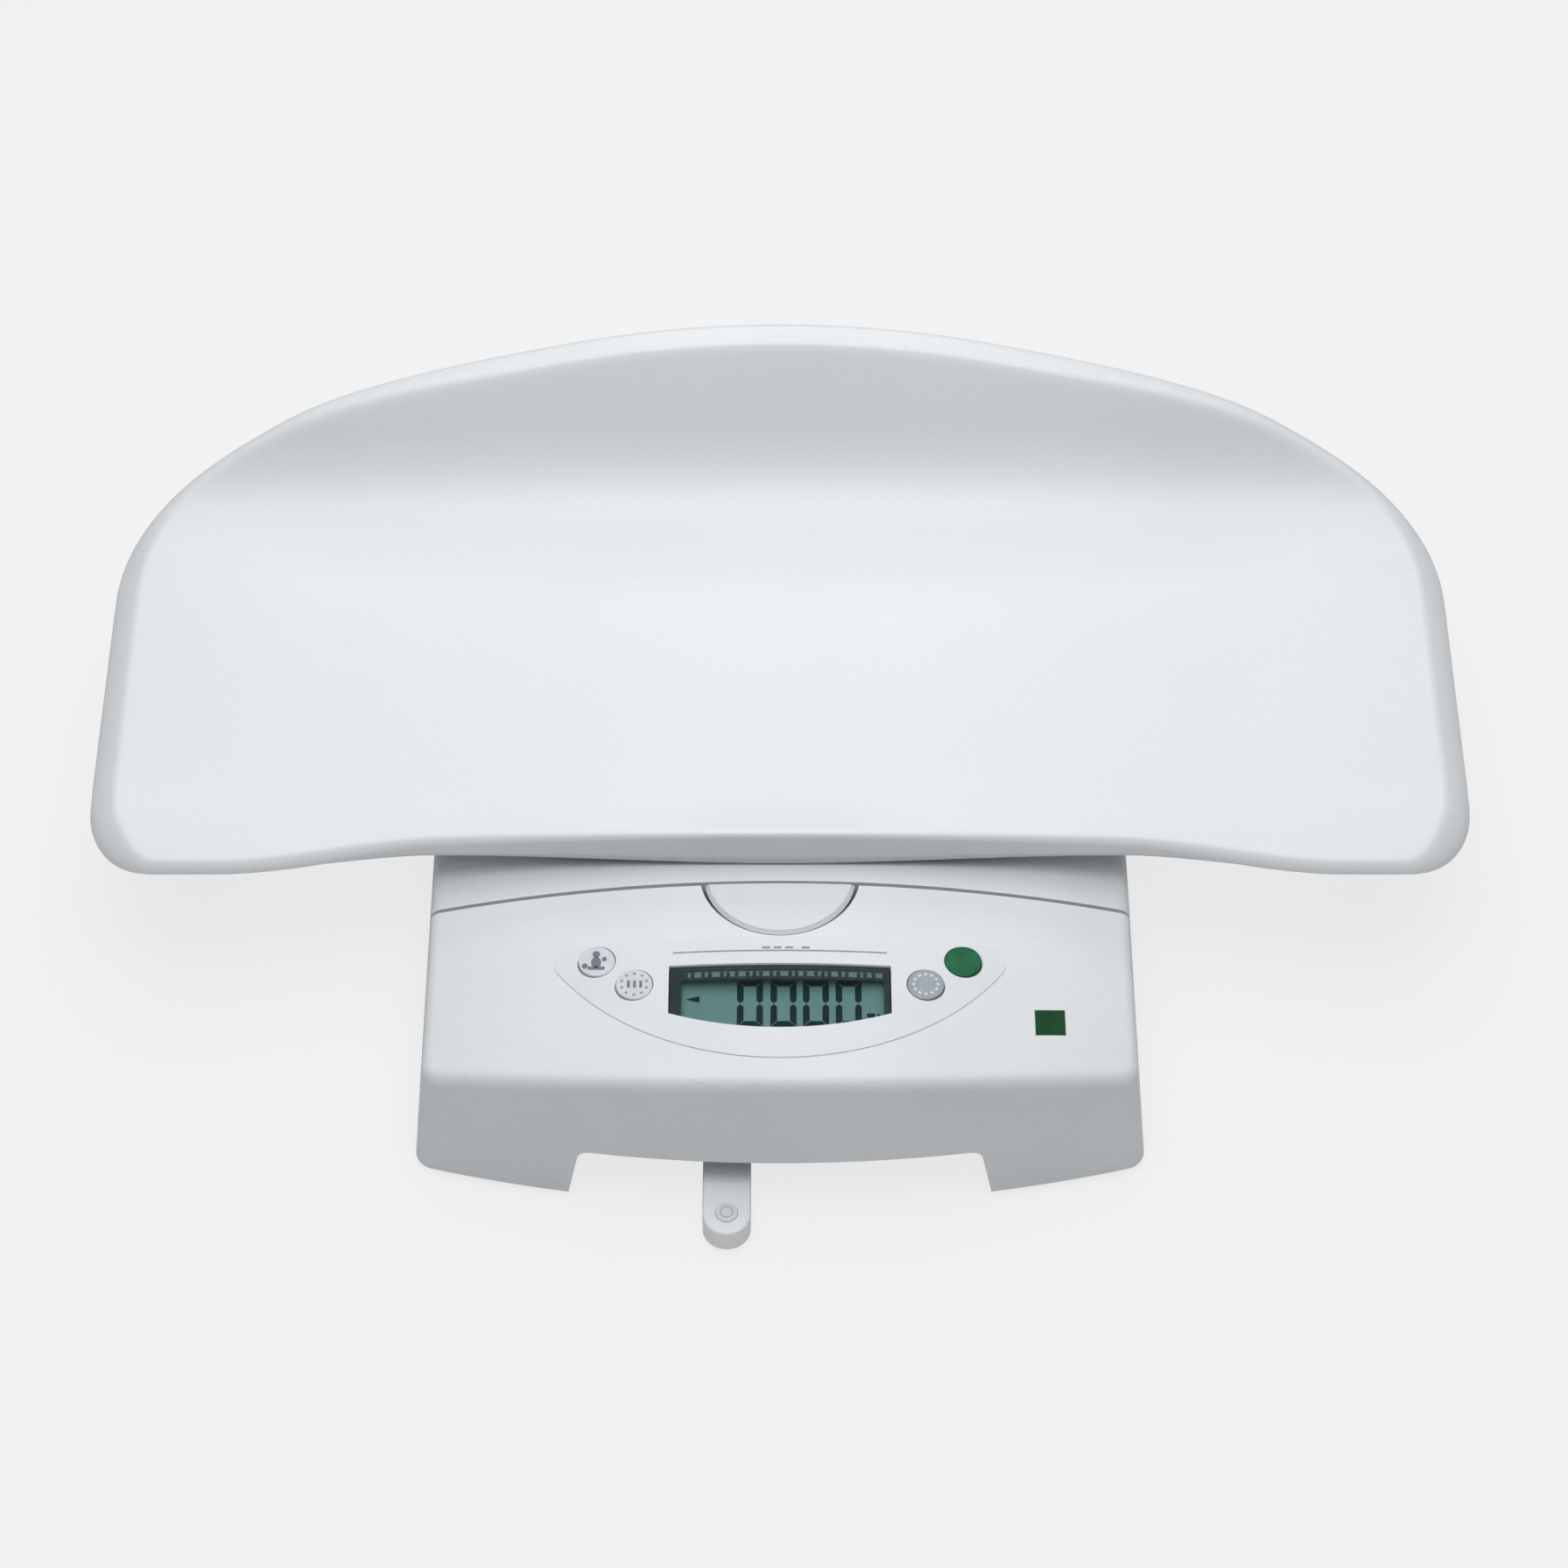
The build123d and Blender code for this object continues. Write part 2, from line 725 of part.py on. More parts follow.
def tray_block(inset, height, edge_radius):
    """The tray's outline filled up to a surface, with its upper edge rounded."""
    low = tray_floor - tray_flange - overrun
    prism = extrude(Pos(0, 0, low) * tray_outline(inset), tray_rim_height)
    slab = extrude(tray_surface(height), flange_depth / 2, dir=(0, 0, -1))
    body = prism & slab
    top = max(body.faces(), key=lambda face: face.area * (face.normal_at().Z > 0))
    return fillet(top.edges(), edge_radius)


def tray():
    """The moulded tray: one curved sheet with a turned-down rim and four bosses below."""
    outside = tray_block(0, tray_top, tray_rim_round)
    inside = tray_block(tray_wall, tray_underside, tray_rim_round - tray_wall)
    flange_foot = tray_surface(lambda x, y: tray_floor + trough_rise(x, y) - tray_flange)
    above = extrude(flange_foot, flange_depth, dir=(0, 0, 1))
    sheet = (outside - inside) & above
    bosses = [post(x, y, saddle_floor + saddle_plate + bond_gap, tray_floor - tray_wall / 2,
                   tray_boss_radius) for x, y in tray_boss_places]
    pilots = [post(x, y, 0, tray_floor - tray_wall, tray_screw_radius + running_gap)
              for x, y in tray_boss_places]
    return sheet + joined(bosses) - joined(pilots)


def tray_saddle():
    """The moulded frame under the tray: a ribbed plate, four feet, pegs and the catch."""
    plan = RectangleRounded(2 * saddle_half, saddle_back - saddle_front, saddle_corner)
    middle = Pos(0, (saddle_front + saddle_back) / 2, saddle_floor)
    plate = extrude(middle * plan, saddle_top - saddle_floor)
    pan = RectangleRounded(2 * (saddle_half - saddle_wall),
                           saddle_back - saddle_front - 2 * saddle_wall,
                           saddle_corner - saddle_wall)
    raised = Pos(0, (saddle_front + saddle_back) / 2, saddle_floor + saddle_plate)
    frame = plate - extrude(raised * pan, saddle_top)
    ribs = [box(x - rib_width / 2, x + rib_width / 2, saddle_front, saddle_back,
                saddle_floor, saddle_top) for x in (-tray_boss_x / 2, 0, tray_boss_x / 2)]
    feet = [post(x, y, crown_z(saddle_foot_x + saddle_foot_radius), saddle_floor,
                 saddle_foot_radius) for x, y in saddle_feet]
    feet = joined(feet) - crown(-pad_height - moving_gap - bond_gap)
    pegs = [post(x, y, crown_z(saddle_foot_x) - peg_length, saddle_floor, peg_radius)
            for x, y in saddle_feet]
    nose_end = lever_pivot_y + hook_thickness / 2 + nose_length
    catch = box(-catch_half, catch_half, nose_end + moving_gap, saddle_front + saddle_wall,
                saddle_floor, saddle_floor + catch_depth)
    saddle = joined([frame, feet, catch] + ribs + pegs)
    holes = [post(x, y, saddle_floor, saddle_floor + saddle_plate,
                  tray_screw_radius + moving_gap) for x, y in tray_boss_places]
    hand_holes = [box(side * saddle_half / 2 - overrun / 2, side * saddle_half / 2 + overrun / 2,
                      saddle_foot_front + overrun, saddle_foot_back - overrun,
                      saddle_floor, saddle_floor + saddle_plate) for side in (-1, 1)]
    return saddle - joined(holes + hand_holes)


def tray_pads():
    """Four rubber rings round the pegs, following the crown of the platform."""
    pads = []
    for x, y in saddle_feet:
        pad = post(x, y, crown_z(saddle_foot_x + saddle_foot_radius) - overrun, crown_height,
                   saddle_foot_radius)
        pad = pad & crown(-pad_height - moving_gap)
        pad = pad - crown(-moving_gap)
        pads.append(pad - post(x, y, 0, crown_height, peg_radius + running_gap))
    return group(pads)


# Fasteners
head_height = 1.8
head_share = 1.9
drive_share = 0.45


def screw_up(x, y, head_z, tip_z, radius):
    """A pan head screw that points up, with a plain drive recess in its head."""
    shank = post(x, y, head_z, tip_z, radius)
    head = post(x, y, head_z - head_height, head_z, radius * head_share)
    drive = post(x, y, head_z - head_height, head_z - head_height / 2, radius * drive_share)
    return shank + head - drive


def housing_screws():
    """Six screws through the bottom plate into the bosses of the base shell."""
    return group([screw_up(x, y, plate_underside, plate_top + screw_depth,
                           screw_hole_radius) for x, y in screw_places])


def tray_screws():
    """Four screws through the saddle into the bosses of the tray."""
    return group([screw_up(x, y, saddle_floor, tray_floor - tray_wall - tray_screw_radius,
                           tray_screw_radius) for x, y in tray_boss_places])


def cell_foot_bolts():
    """Two bolts through the plate and the spacer into the fixed end of the load cell."""
    return group([screw_up(0, y, plate_underside, cell_bottom + cell_height / 2,
                           cell_screw_radius) for y in cell_foot_screws])


def cell_far_bolts():
    """Two bolts down through the spider into the free end of the load cell."""
    bolts = []
    for y in cell_far_screws:
        shank = post(0, y, cell_top - cell_height / 2, spider_top, cell_screw_radius)
        head = post(0, y, spider_top, spider_top + head_height, cell_screw_radius * head_share)
        drive = post(0, y, spider_top + head_height / 2, spider_top + head_height,
                     cell_screw_radius * drive_share)
        bolts.append(shank + head - drive)
    return group(bolts)


def platform_screws():
    """Four screws up through the spider into the posts of the platform."""
    tip = spider_top + bush_height + screw_depth
    return group([screw_up(x, y, spider_bottom, tip, bush_screw_radius)
                  for x, y in spider_corners])


def platform_bushes():
    """Four rubber bushes between the spider and the posts of the platform."""
    bushes = []
    for x, y in spider_corners:
        bush = post(x, y, spider_top, spider_top + bush_height, bush_radius)
        bushes.append(bush - post(x, y, 0, crown_height, bush_screw_radius + running_gap))
    return group(bushes)


# Display
board_thickness = 1.6
lcd_half = 42.0
lcd_front = 29.5
lcd_back = 62.5
lcd_thickness = 2.8
lcd_top = 72.8
frame_wall = 2.0
frame_rise = 1.2
lens_thickness = 2.0
lens_drop = 0.3
stem_radius = 2.4
switch_size = 6.0
switch_height = 3.6
plunger_radius = 1.7
plunger_height = 1.0
flange_height = 1.2
flange_radius = 8.8
cap_rise = 0.7
cap_dome = 0.5
stem_gap = 0.8
chip_side = 12.0
chip_height = 1.8
connector_size = 8.0
buzzer_radius = 6.0
buzzer_height = 5.0


def display_lens():
    """The clear window, level with the crown of the panel."""
    prism = window_prism(window_clearance, crown_height - overrun, crown_height + overrun)
    lens = (prism & crown(lens_drop)) - crown(lens_drop + lens_thickness)
    return lens


def lcd_module():
    """The glass of the liquid crystal display."""
    return box(-lcd_half, lcd_half, lcd_front, lcd_back, lcd_top - lcd_thickness, lcd_top)


def lcd_frame():
    """The frame that stands on the board and holds the glass on a ledge."""
    outside = box(-lcd_half - frame_wall, lcd_half + frame_wall, lcd_front - frame_wall,
                  lcd_back + frame_wall, board_top, lcd_top + frame_rise)
    well = box(-lcd_half - bond_gap, lcd_half + bond_gap, lcd_front - bond_gap,
               lcd_back + bond_gap, lcd_top - lcd_thickness, lcd_top + overrun)
    hollow = box(-lcd_half + frame_wall, lcd_half - frame_wall, lcd_front + frame_wall,
                 lcd_back - frame_wall, board_top - overrun, lcd_top)
    return outside - well - hollow


def circuit_board():
    """The printed circuit board under the panel."""
    board = box(-board_half, board_half, board_front, board_back,
                board_top - board_thickness, board_top)
    holes = [post(x, y, 0, board_top, board_screw_radius + moving_gap)
             for x, y in board_screw_places]
    return board - joined(holes)


def board_parts():
    """Processor, converter, lead socket and buzzer under the board."""
    low = board_top - board_thickness
    middle = (board_front + board_back) / 2
    pieces = []
    for x, side in ((-chip_side * 2, chip_side), (chip_side * 2, chip_side / 2)):
        pieces.append(box(x - side / 2, x + side / 2, middle - side / 2, middle + side / 2,
                          low - chip_height, low))
    socket_y = board_back - connector_size
    pieces.append(box(-connector_size, connector_size, socket_y - connector_size / 2,
                      socket_y + connector_size / 2, low - connector_size / 2, low))
    pieces.append(post(board_half / 2, middle, low - buzzer_height, low, buzzer_radius))
    return group(pieces)


def key_switches():
    """Four push switches on the board, one under each key."""
    switches = []
    for x, y in key_places.values():
        half = switch_size / 2
        body = box(x - half, x + half, y - half, y + half, board_top, board_top + switch_height)
        top = board_top + switch_height
        switches.append(body + post(x, y, top, top + plunger_height, plunger_radius))
    return group(switches)


def key_cap(x, y):
    """One key: a slightly domed cap, a flange under the panel and a stem to its switch."""
    radius = key_diameter / 2
    reach = abs(x) + flange_radius
    flange_top = crown_z(reach, housing_wall) - moving_gap
    cap_top = crown_z(abs(x)) + foil_thickness + cap_rise
    body = post(x, y, flange_top, cap_top, radius)
    rim = body.faces().sort_by(Axis.Z)[-1].edges()
    body = fillet(rim, cap_dome)
    flange = post(x, y, flange_top - flange_height, flange_top, flange_radius)
    switch_top = board_top + switch_height + plunger_height
    stem = post(x, y, switch_top + stem_gap, flange_top, stem_radius)
    return body + flange + stem


def overlay_foil():
    """The printed foil on the panel: a circle segment with a window and four key holes."""
    centre_y = foil_bottom + foil_arc_radius
    disc = Pos(0, centre_y, 0) * Circle(foil_arc_radius)
    keep = Pos(0, foil_top - foil_arc_radius, 0) * Rectangle(4 * foil_arc_radius,
                                                             2 * foil_arc_radius)
    segment = disc & keep
    segment = fillet(segment.vertices(), foil_tip_radius)
    prism = extrude(Pos(0, 0, crown_height - overrun) * segment, 2 * overrun)
    foil = (prism & crown(-foil_thickness)) - crown(-bond_gap)
    foil = foil - window_prism(0, crown_height - overrun, crown_height + overrun)
    holes = [post(x, y, crown_height - overrun, crown_height + overrun,
                  key_diameter / 2 + key_hole_gap) for x, y in key_places.values()]
    return foil - joined(holes)


def board_screws():
    """Four screws up through the board into the bosses of the base shell."""
    return group([screw_up(x, y, board_top - board_thickness,
                           board_top + board_screw_depth, board_screw_radius)
                  for x, y in board_screw_places])


# Batteries
battery_wall = 1.5
battery_row = 15.0
battery_count = 3
contact_thickness = 0.6
contact_spring = 2.2
contact_radius = 4.0
cap_radius = 2.7
cap_length = 1.3
battery_inner_width = battery_row * battery_count + 2 * battery_wall
battery_inner_length = 2 * cell_size + 2 * contact_spring + 4 * contact_thickness + bond_gap
battery_inner_top = plate_top + battery_row + battery_wall * 2
battery_x0 = battery_left + battery_wall
battery_y0 = battery_front + battery_wall
battery_middle_z = plate_top + cell_diameter / 2 + battery_wall / 2


def battery_box():
    """The moulded box over the batteries, open below and closed by the door."""
    outside = box(battery_left, battery_x0 + battery_inner_width + battery_wall,
                  battery_front, battery_y0 + battery_inner_length + battery_wall,
                  plate_top, battery_inner_top + battery_wall)
    inside = box(battery_x0, battery_x0 + battery_inner_width,
                 battery_y0, battery_y0 + battery_inner_length,
                 plate_top - overrun, battery_inner_top)
    return outside - inside


def battery_rows():
    """Middle lines of the rows of batteries."""
    first = battery_x0 + battery_wall + battery_row / 2
    return [first + battery_row * i for i in range(battery_count)]


def along_y(x, y0, y1, z, radius):
    """A cylinder along Y between two ends."""
    return Pos(x, (y0 + y1) / 2, z) * Rot(90, 0, 0) * Cylinder(radius, y1 - y0)


def battery_cells():
    """Six AA cells, two in each row."""
    cells = []
    start = battery_y0 + contact_thickness + contact_spring
    for x in battery_rows():
        for place in range(2):
            y0 = start + place * cell_size
            body = along_y(x, y0, y0 + cell_size - cap_length, battery_middle_z,
                           cell_diameter / 2)
            cap = along_y(x, y0 + cell_size - cap_length, y0 + cell_size - running_gap,
                          battery_middle_z, cap_radius)
            cells.append(body + cap)
    return group(cells)


def battery_contacts():
    """Contact plates at both ends of each row, with a spring at the front one."""
    contacts = []
    far = battery_y0 + battery_inner_length
    for x in battery_rows():
        plate = box(x - contact_radius, x + contact_radius, battery_y0,
                    battery_y0 + contact_thickness, battery_middle_z - contact_radius,
                    battery_middle_z + contact_radius)
        spring = along_y(x, battery_y0 + contact_thickness,
                         battery_y0 + contact_thickness + contact_spring - bond_gap,
                         battery_middle_z, contact_radius - contact_thickness)
        hollow = along_y(x, battery_y0 + contact_thickness,
                         battery_y0 + contact_thickness + contact_spring,
                         battery_middle_z, contact_radius - 3 * contact_thickness)
        contacts.append(plate + (spring - hollow))
        contacts.append(box(x - contact_radius, x + contact_radius,
                            far - contact_thickness, far,
                            battery_middle_z - contact_radius,
                            battery_middle_z + contact_radius))
    return group(contacts)


def battery_door():
    """The door under the batteries: a ribbed panel that swings down on two pins."""
    panel = box(door_left, door_left + door_width, door_front, door_axis_y,
                plate_underside, plate_underside + door_thickness)
    barrel = cross_rod(door_left, door_left + door_width, door_axis_y, door_axis_z,
                       door_pin_radius)
    pins = cross_rod(door_left - door_gap - door_pin_length / 2,
                     door_left + door_width + door_gap + door_pin_length / 2,
                     door_axis_y, door_axis_z, door_pin_radius)
    finger = post(door_left + door_width / 2, door_front, plate_underside,
                  plate_underside + door_thickness / 2, door_pin_length * 2)
    return panel + barrel + pins - finger


# Spirit level
holder_root = 76.0
level_screw_radius = 1.8
level_screw_ys = (54.0, 68.0)
vial_depth = 5.0
vial_rise = 0.5
vial_seat_gap = 0.1
holder_edge = 1.0


def level_holder():
    """The tongue that carries the spirit level out under the front skirt."""
    half = level_width / 2
    low = skirt_height
    straight = box(level_x - half, level_x + half, half - level_reach,
                   recess_back - plate_clearance, low, level_top)
    tip = post(level_x, half - level_reach, low, level_top, half)
    tongue = straight + tip
    top_edges = tongue.faces().sort_by(Axis.Z)[-1].edges().sort_by(Axis.Y)[:-1]
    tongue = fillet(top_edges, holder_edge)
    root = box(level_x - half, level_x + half, recess_back - plate_clearance * 2, holder_root,
               low, plate_underside)
    seat = post(level_x, vial_y, level_top - vial_depth, level_top + overrun,
                vial_diameter / 2 + vial_seat_gap)
    holes = [post(level_x, y, 0, plate_underside, level_screw_radius + running_gap)
             for y in level_screw_ys]
    return tongue + root - seat - joined(holes)


def level_vial():
    """The round bubble level: a clear capsule with a low domed top."""
    radius = vial_diameter / 2
    capsule = post(level_x, vial_y, level_top - vial_depth, level_top + vial_rise, radius)
    rim = capsule.faces().sort_by(Axis.Z)[-1].edges()
    return fillet(rim, vial_rise)


def level_screws():
    """Two screws that hold the tongue under the bottom plate."""
    screws = []
    for y in level_screw_ys:
        shank = post(level_x, y, skirt_height, plate_top, level_screw_radius)
        screws.append(shank)
    return group(screws)


# Feet
pad_thickness = 4.0
pad_edge = 1.0
pivot_radius = 3.0
pivot_depth = 2.4
wheel_radius = 13.0
wheel_height = 4.4
wheel_gap = 0.3
flute_count = 20
flute_radius = 1.3
stud_top = 27.0


def foot_pad(x, y):
    """The rubber pad of one levelling foot, with a socket for the stud."""
    pad = post(x, y, 0, pad_thickness, foot_pad_diameter / 2)
    rims = pad.faces().sort_by(Axis.Z)[0].edges()
    pad = fillet(rims, pad_edge)
    socket = post(x, y, pad_thickness - pivot_depth, pad_thickness,
                  pivot_radius + running_gap)
    return pad - socket


def foot_stud(x, y):
    """The threaded stud of one levelling foot with its fluted wheel."""
    wheel_low = pad_thickness + wheel_gap
    wheel = post(x, y, wheel_low, wheel_low + wheel_height, wheel_radius)
    flutes = PolarLocations(wheel_radius, flute_count)
    cutter = Cylinder(flute_radius, wheel_height + overrun)
    middle = Pos(x, y, wheel_low + wheel_height / 2)
    wheel = wheel - joined([middle * place * cutter for place in flutes])
    pivot = post(x, y, pad_thickness - pivot_depth + running_gap, wheel_low, pivot_radius)
    stud = post(x, y, wheel_low + wheel_height, stud_top, stud_diameter / 2)
    return wheel + pivot + stud


def save(name, shape):
    """Write one node, moved so that the origin is under the middle of the whole scale."""
    parts[name] = Pos(0, -origin_y, 0) * shape
    export_step(parts[name], os.path.join("parts", name + ".step"))


os.makedirs("parts", exist_ok=True)
save("base_shell", base_shell())
save("bottom_plate", bottom_plate())
save("cell_foot", cell_foot())
save("load_cell", load_cell())
save("spider", spider())
save("platform", platform())
save("release_lever", release_lever())
save("lever_pin", lever_pin())
save("lever_spring", lever_spring())
save("tray", tray())
save("tray_saddle", tray_saddle())
save("tray_pads", tray_pads())
save("tray_screws", tray_screws())
save("housing_screws", housing_screws())
save("cell_foot_bolts", cell_foot_bolts())
save("cell_far_bolts", cell_far_bolts())
save("platform_screws", platform_screws())
save("platform_bushes", platform_bushes())
save("display_lens", display_lens())
save("lcd_module", lcd_module())
save("lcd_frame", lcd_frame())
save("circuit_board", circuit_board())
save("board_parts", board_parts())
save("board_screws", board_screws())
save("key_switches", key_switches())
save("overlay_foil", overlay_foil())
for key_name, (key_x, key_y) in key_places.items():
    save(key_name, key_cap(key_x, key_y))
save("battery_box", battery_box())
save("battery_cells", battery_cells())
save("battery_contacts", battery_contacts())
save("battery_door", battery_door())
save("level_holder", level_holder())
save("level_vial", level_vial())
save("level_screws", level_screws())
for foot_name, (place_x, place_y) in foot_places.items():
    save("foot_pad_" + foot_name, foot_pad(place_x, place_y))
    save("foot_stud_" + foot_name, foot_stud(place_x, place_y))
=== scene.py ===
"""Looks of a baby scale: a satin white tray on a low moulded base with a small display.

Places are in millimetres as the maker would draw them: X to the right, Y from the foot of the
front skirt to the back, Z up. spot() turns such a place into Blender's metres in the frame of
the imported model.
"""

import json
import math

import bmesh
import bpy
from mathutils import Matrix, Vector


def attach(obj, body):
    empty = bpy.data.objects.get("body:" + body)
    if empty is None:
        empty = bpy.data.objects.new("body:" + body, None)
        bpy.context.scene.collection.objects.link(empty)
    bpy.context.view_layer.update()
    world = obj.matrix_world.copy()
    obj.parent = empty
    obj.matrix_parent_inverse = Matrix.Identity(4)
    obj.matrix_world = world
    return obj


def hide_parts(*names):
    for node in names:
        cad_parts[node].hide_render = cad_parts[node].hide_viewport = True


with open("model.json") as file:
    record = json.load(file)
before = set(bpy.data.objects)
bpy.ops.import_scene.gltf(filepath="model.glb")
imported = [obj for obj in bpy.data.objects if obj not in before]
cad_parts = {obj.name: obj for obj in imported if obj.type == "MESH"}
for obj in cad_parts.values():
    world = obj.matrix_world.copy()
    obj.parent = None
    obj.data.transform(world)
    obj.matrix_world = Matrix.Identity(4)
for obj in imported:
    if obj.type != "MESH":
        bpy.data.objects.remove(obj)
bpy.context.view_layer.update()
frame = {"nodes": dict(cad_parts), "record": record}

MM = 0.001
DRAWING_Y = 156.75

# Base, as in the drawing
CROWN_HEIGHT = 81.3
CROWN_RADIUS = 500.0

# Tray
TRAY_HALF = 276.5
TRAY_FRONT = 105.5
TRAY_BACK = 334.4
BACK_RADIUS = 982.0
BACK_CORNER_X = 180.0
BACK_CORNER_Y = 236.0
SIDE_PULL_SHARE = 0.51
FRONT_CORNER = 28.0
WAIST_X = 225.0
NECK_X = 135.0
NECK_SETBACK = 8.5
CENTRE_SETBACK = 4.5
TRAY_FLOOR = 96.0
TRAY_WALL = 3.0
RIM_HEIGHT = 162.0
WALL_SLOPE = math.radians(60.5)
FOOT_RADIUS_MIDDLE = 66.0
FOOT_RADIUS_ENDS = 58.0
FOOT_FROM_X = 90.0
FOOT_TO_X = 215.0
SHOULDER_RADIUS = 6.0
SHELF = 8.0
SHELF_ENDS = 4.0
FLANGE = 13.0
FLANGE_LEAST = 1.0
FLANGE_STATIONS = (0.35, 0.7, 1.0)
RIM_WIDTH = 3.6
RIM_WIDTH_ENDS = 10.5
RIM_DEPTH_ENDS = 9.0
CREASE_SHARE_ENDS = 0.55
EDGE_INSET = 0.8
EDGE_ROUND = 0.3
EDGE_STEP = 0.5
LIP_RISE = 7.0
LIP_DROOP = 9.0
LIP_DEPTH = 42.8
LIP_END_X = 195.0
SPINE_HALF = 175.0
SPINE_Y = 214.0
SPINE_SHARE = 0.98
OUTLINE_STEP = 3.0
SLOPE_SPAN = 0.2


def spot(x, y, z):
    """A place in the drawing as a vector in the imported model's frame."""
    return Vector((x * MM, (y - DRAWING_Y) * MM, z * MM))


def crown_z(x):
    """Height of the crowned panel at a distance to either side of the middle."""
    return CROWN_HEIGHT - CROWN_RADIUS + math.sqrt(CROWN_RADIUS**2 - x**2)


def linear(hex_colour):
    """An sRGB hex colour as linear values for a shader."""
    parts = [int(hex_colour[i:i + 2], 16) / 255 for i in (1, 3, 5)]
    light = [c / 12.92 if c <= 0.04045 else ((c + 0.055) / 1.055) ** 2.4 for c in parts]
    return (*light, 1.0)


def add_node(tree, kind, inputs=None, **settings):
    """Adds one node with its settings, and sets or links its inputs."""
    node = tree.nodes.new(kind)
    for name, value in settings.items():
        setattr(node, name, value)
    for name, value in (inputs or {}).items():
        if isinstance(value, bpy.types.NodeSocket):
            tree.links.new(value, node.inputs[name])
        else:
            node.inputs[name].default_value = value
    return node


def new_material(name):
    """An empty node material and its tree."""
    material = bpy.data.materials.new(name)
    material.use_nodes = True
    material.node_tree.nodes.clear()
    return material, material.node_tree


def grained(name, light, dark, grain_mm, depth_mm, roughness, ior=1.5, metallic=0.0,
            drift_mm=60.0, stretch=(1.0, 1.0, 1.0), coat=0.0, rough_span=0.08):
    """A surface with a fine grain, a slow drift of tone and a slightly uneven gloss."""
    material, tree = new_material(name)
    place = add_node(tree, "ShaderNodeTexCoord").outputs["Object"]
    along = add_node(tree, "ShaderNodeMapping", {"Vector": place, "Scale": stretch})
    grain = add_node(tree, "ShaderNodeTexNoise", {
        "Vector": along.outputs["Vector"], "Scale": 1 / (grain_mm * MM), "Detail": 3.0,
        "Roughness": 0.6})
    drift = add_node(tree, "ShaderNodeTexNoise", {
        "Vector": place, "Scale": 1 / (drift_mm * MM), "Detail": 2.0})
    blend = add_node(tree, "ShaderNodeMath", {
        0: drift.outputs["Fac"], 1: grain.outputs["Fac"]}, operation="MULTIPLY")
    tone = add_node(tree, "ShaderNodeMapRange", {
        "Value": blend.outputs["Value"], "From Min": 0.1, "From Max": 0.45})
    colour = add_node(tree, "ShaderNodeMix", {
        "Factor": tone.outputs["Result"], "A": linear(dark), "B": linear(light)},
        data_type="RGBA")
    gloss = add_node(tree, "ShaderNodeMapRange", {
        "Value": grain.outputs["Fac"], "To Min": roughness - rough_span,
        "To Max": roughness + rough_span})
    relief = add_node(tree, "ShaderNodeBump", {
        "Height": grain.outputs["Fac"], "Strength": 1.0, "Distance": depth_mm * MM})
    shader = add_node(tree, "ShaderNodeBsdfPrincipled", {
        "Base Color": colour.outputs["Result"], "Roughness": gloss.outputs["Result"],
        "IOR": ior, "Metallic": metallic, "Coat Weight": coat, "Coat Roughness": 0.15,
        "Normal": relief.outputs["Normal"]})
    add_node(tree, "ShaderNodeOutputMaterial", {"Surface": shader.outputs["BSDF"]})
    return material


def moulded_abs():
    """ABS moulded on a spark-eroded tool: an even, dull, cool white. The grain of a tenth of a
    millimetre is drawn coarser, so that it shows."""
    return grained("moulded_abs_white", "#E3E7EA", "#DADFE3", 1.1, 0.012, 0.48)


def satin_tray_plastic():
    """Polystyrene moulded on a fine-blasted tool: a smooth satin white that wipes clean."""
    return grained("satin_polystyrene_white", "#E6EAED", "#E0E5E9", 1.4, 0.004, 0.36,
                   drift_mm=120.0)


def saddle_plastic():
    """Glass-filled nylon: off-white, with short flow marks."""
    return grained("glass_filled_nylon", "#D8DCDF", "#C6CBD0", 1.6, 0.02, 0.55,
                   stretch=(1.0, 0.3, 1.0))


def lever_plastic():
    """The same ABS as the base, from a finer tool: a little greyer and glossier."""
    return grained("moulded_abs_lever", "#DDE1E4", "#D5DADE", 1.0, 0.008, 0.42)


def natural_acetal():
    """Unpigmented acetal of the level's arm: a milky white, waxy to the touch."""
    return grained("natural_acetal", "#F1F3F4", "#E8EBED", 1.2, 0.004, 0.38, drift_mm=10.0)


def milled_aluminium():
    """Milled bar: bright, with fine cutter marks across it."""
    return grained("milled_aluminium", "#C9CBCE", "#A9ACB0", 0.7, 0.01, 0.34, metallic=1.0,
                   stretch=(1.0, 0.08, 1.0))


def zinc_plated_steel():
    """Bright zinc on steel: bluish grey, slightly cloudy."""
    return grained("zinc_plated_steel", "#C2C6CB", "#9CA1A8", 1.2, 0.004, 0.3, metallic=1.0,
                   drift_mm=4.0)


def nickel_plated_steel():
    """Nickel on spring steel: bright and slightly warm."""
    return grained("nickel_plated_steel", "#D4D1CB", "#B9B5AD", 1.0, 0.003, 0.22, metallic=1.0,
                   drift_mm=4.0)


def moulded_rubber():
    """Black thermoplastic rubber: matt, with a dusty bloom."""
    return grained("moulded_rubber", "#3A3D41", "#26282B", 0.9, 0.03, 0.82, drift_mm=8.0)


def black_abs():
    """Black ABS for inner mouldings, with a dull tool grain."""
    return grained("black_abs", "#2C2E31", "#1F2023", 1.0, 0.015, 0.55)


def dark_nylon():
    """Dark grey nylon of the thumb wheels: dull, with worn lighter patches."""
    return grained("dark_grey_nylon", "#6A6E73", "#4C5055", 1.3, 0.02, 0.5, drift_mm=6.0)


def solder_mask():
    """Green solder mask over copper: glossy, with the tracks as slow changes of tone."""
    return grained("green_solder_mask", "#2F6A46", "#1E4A30", 2.2, 0.02, 0.25, coat=0.4,
                   drift_mm=9.0)


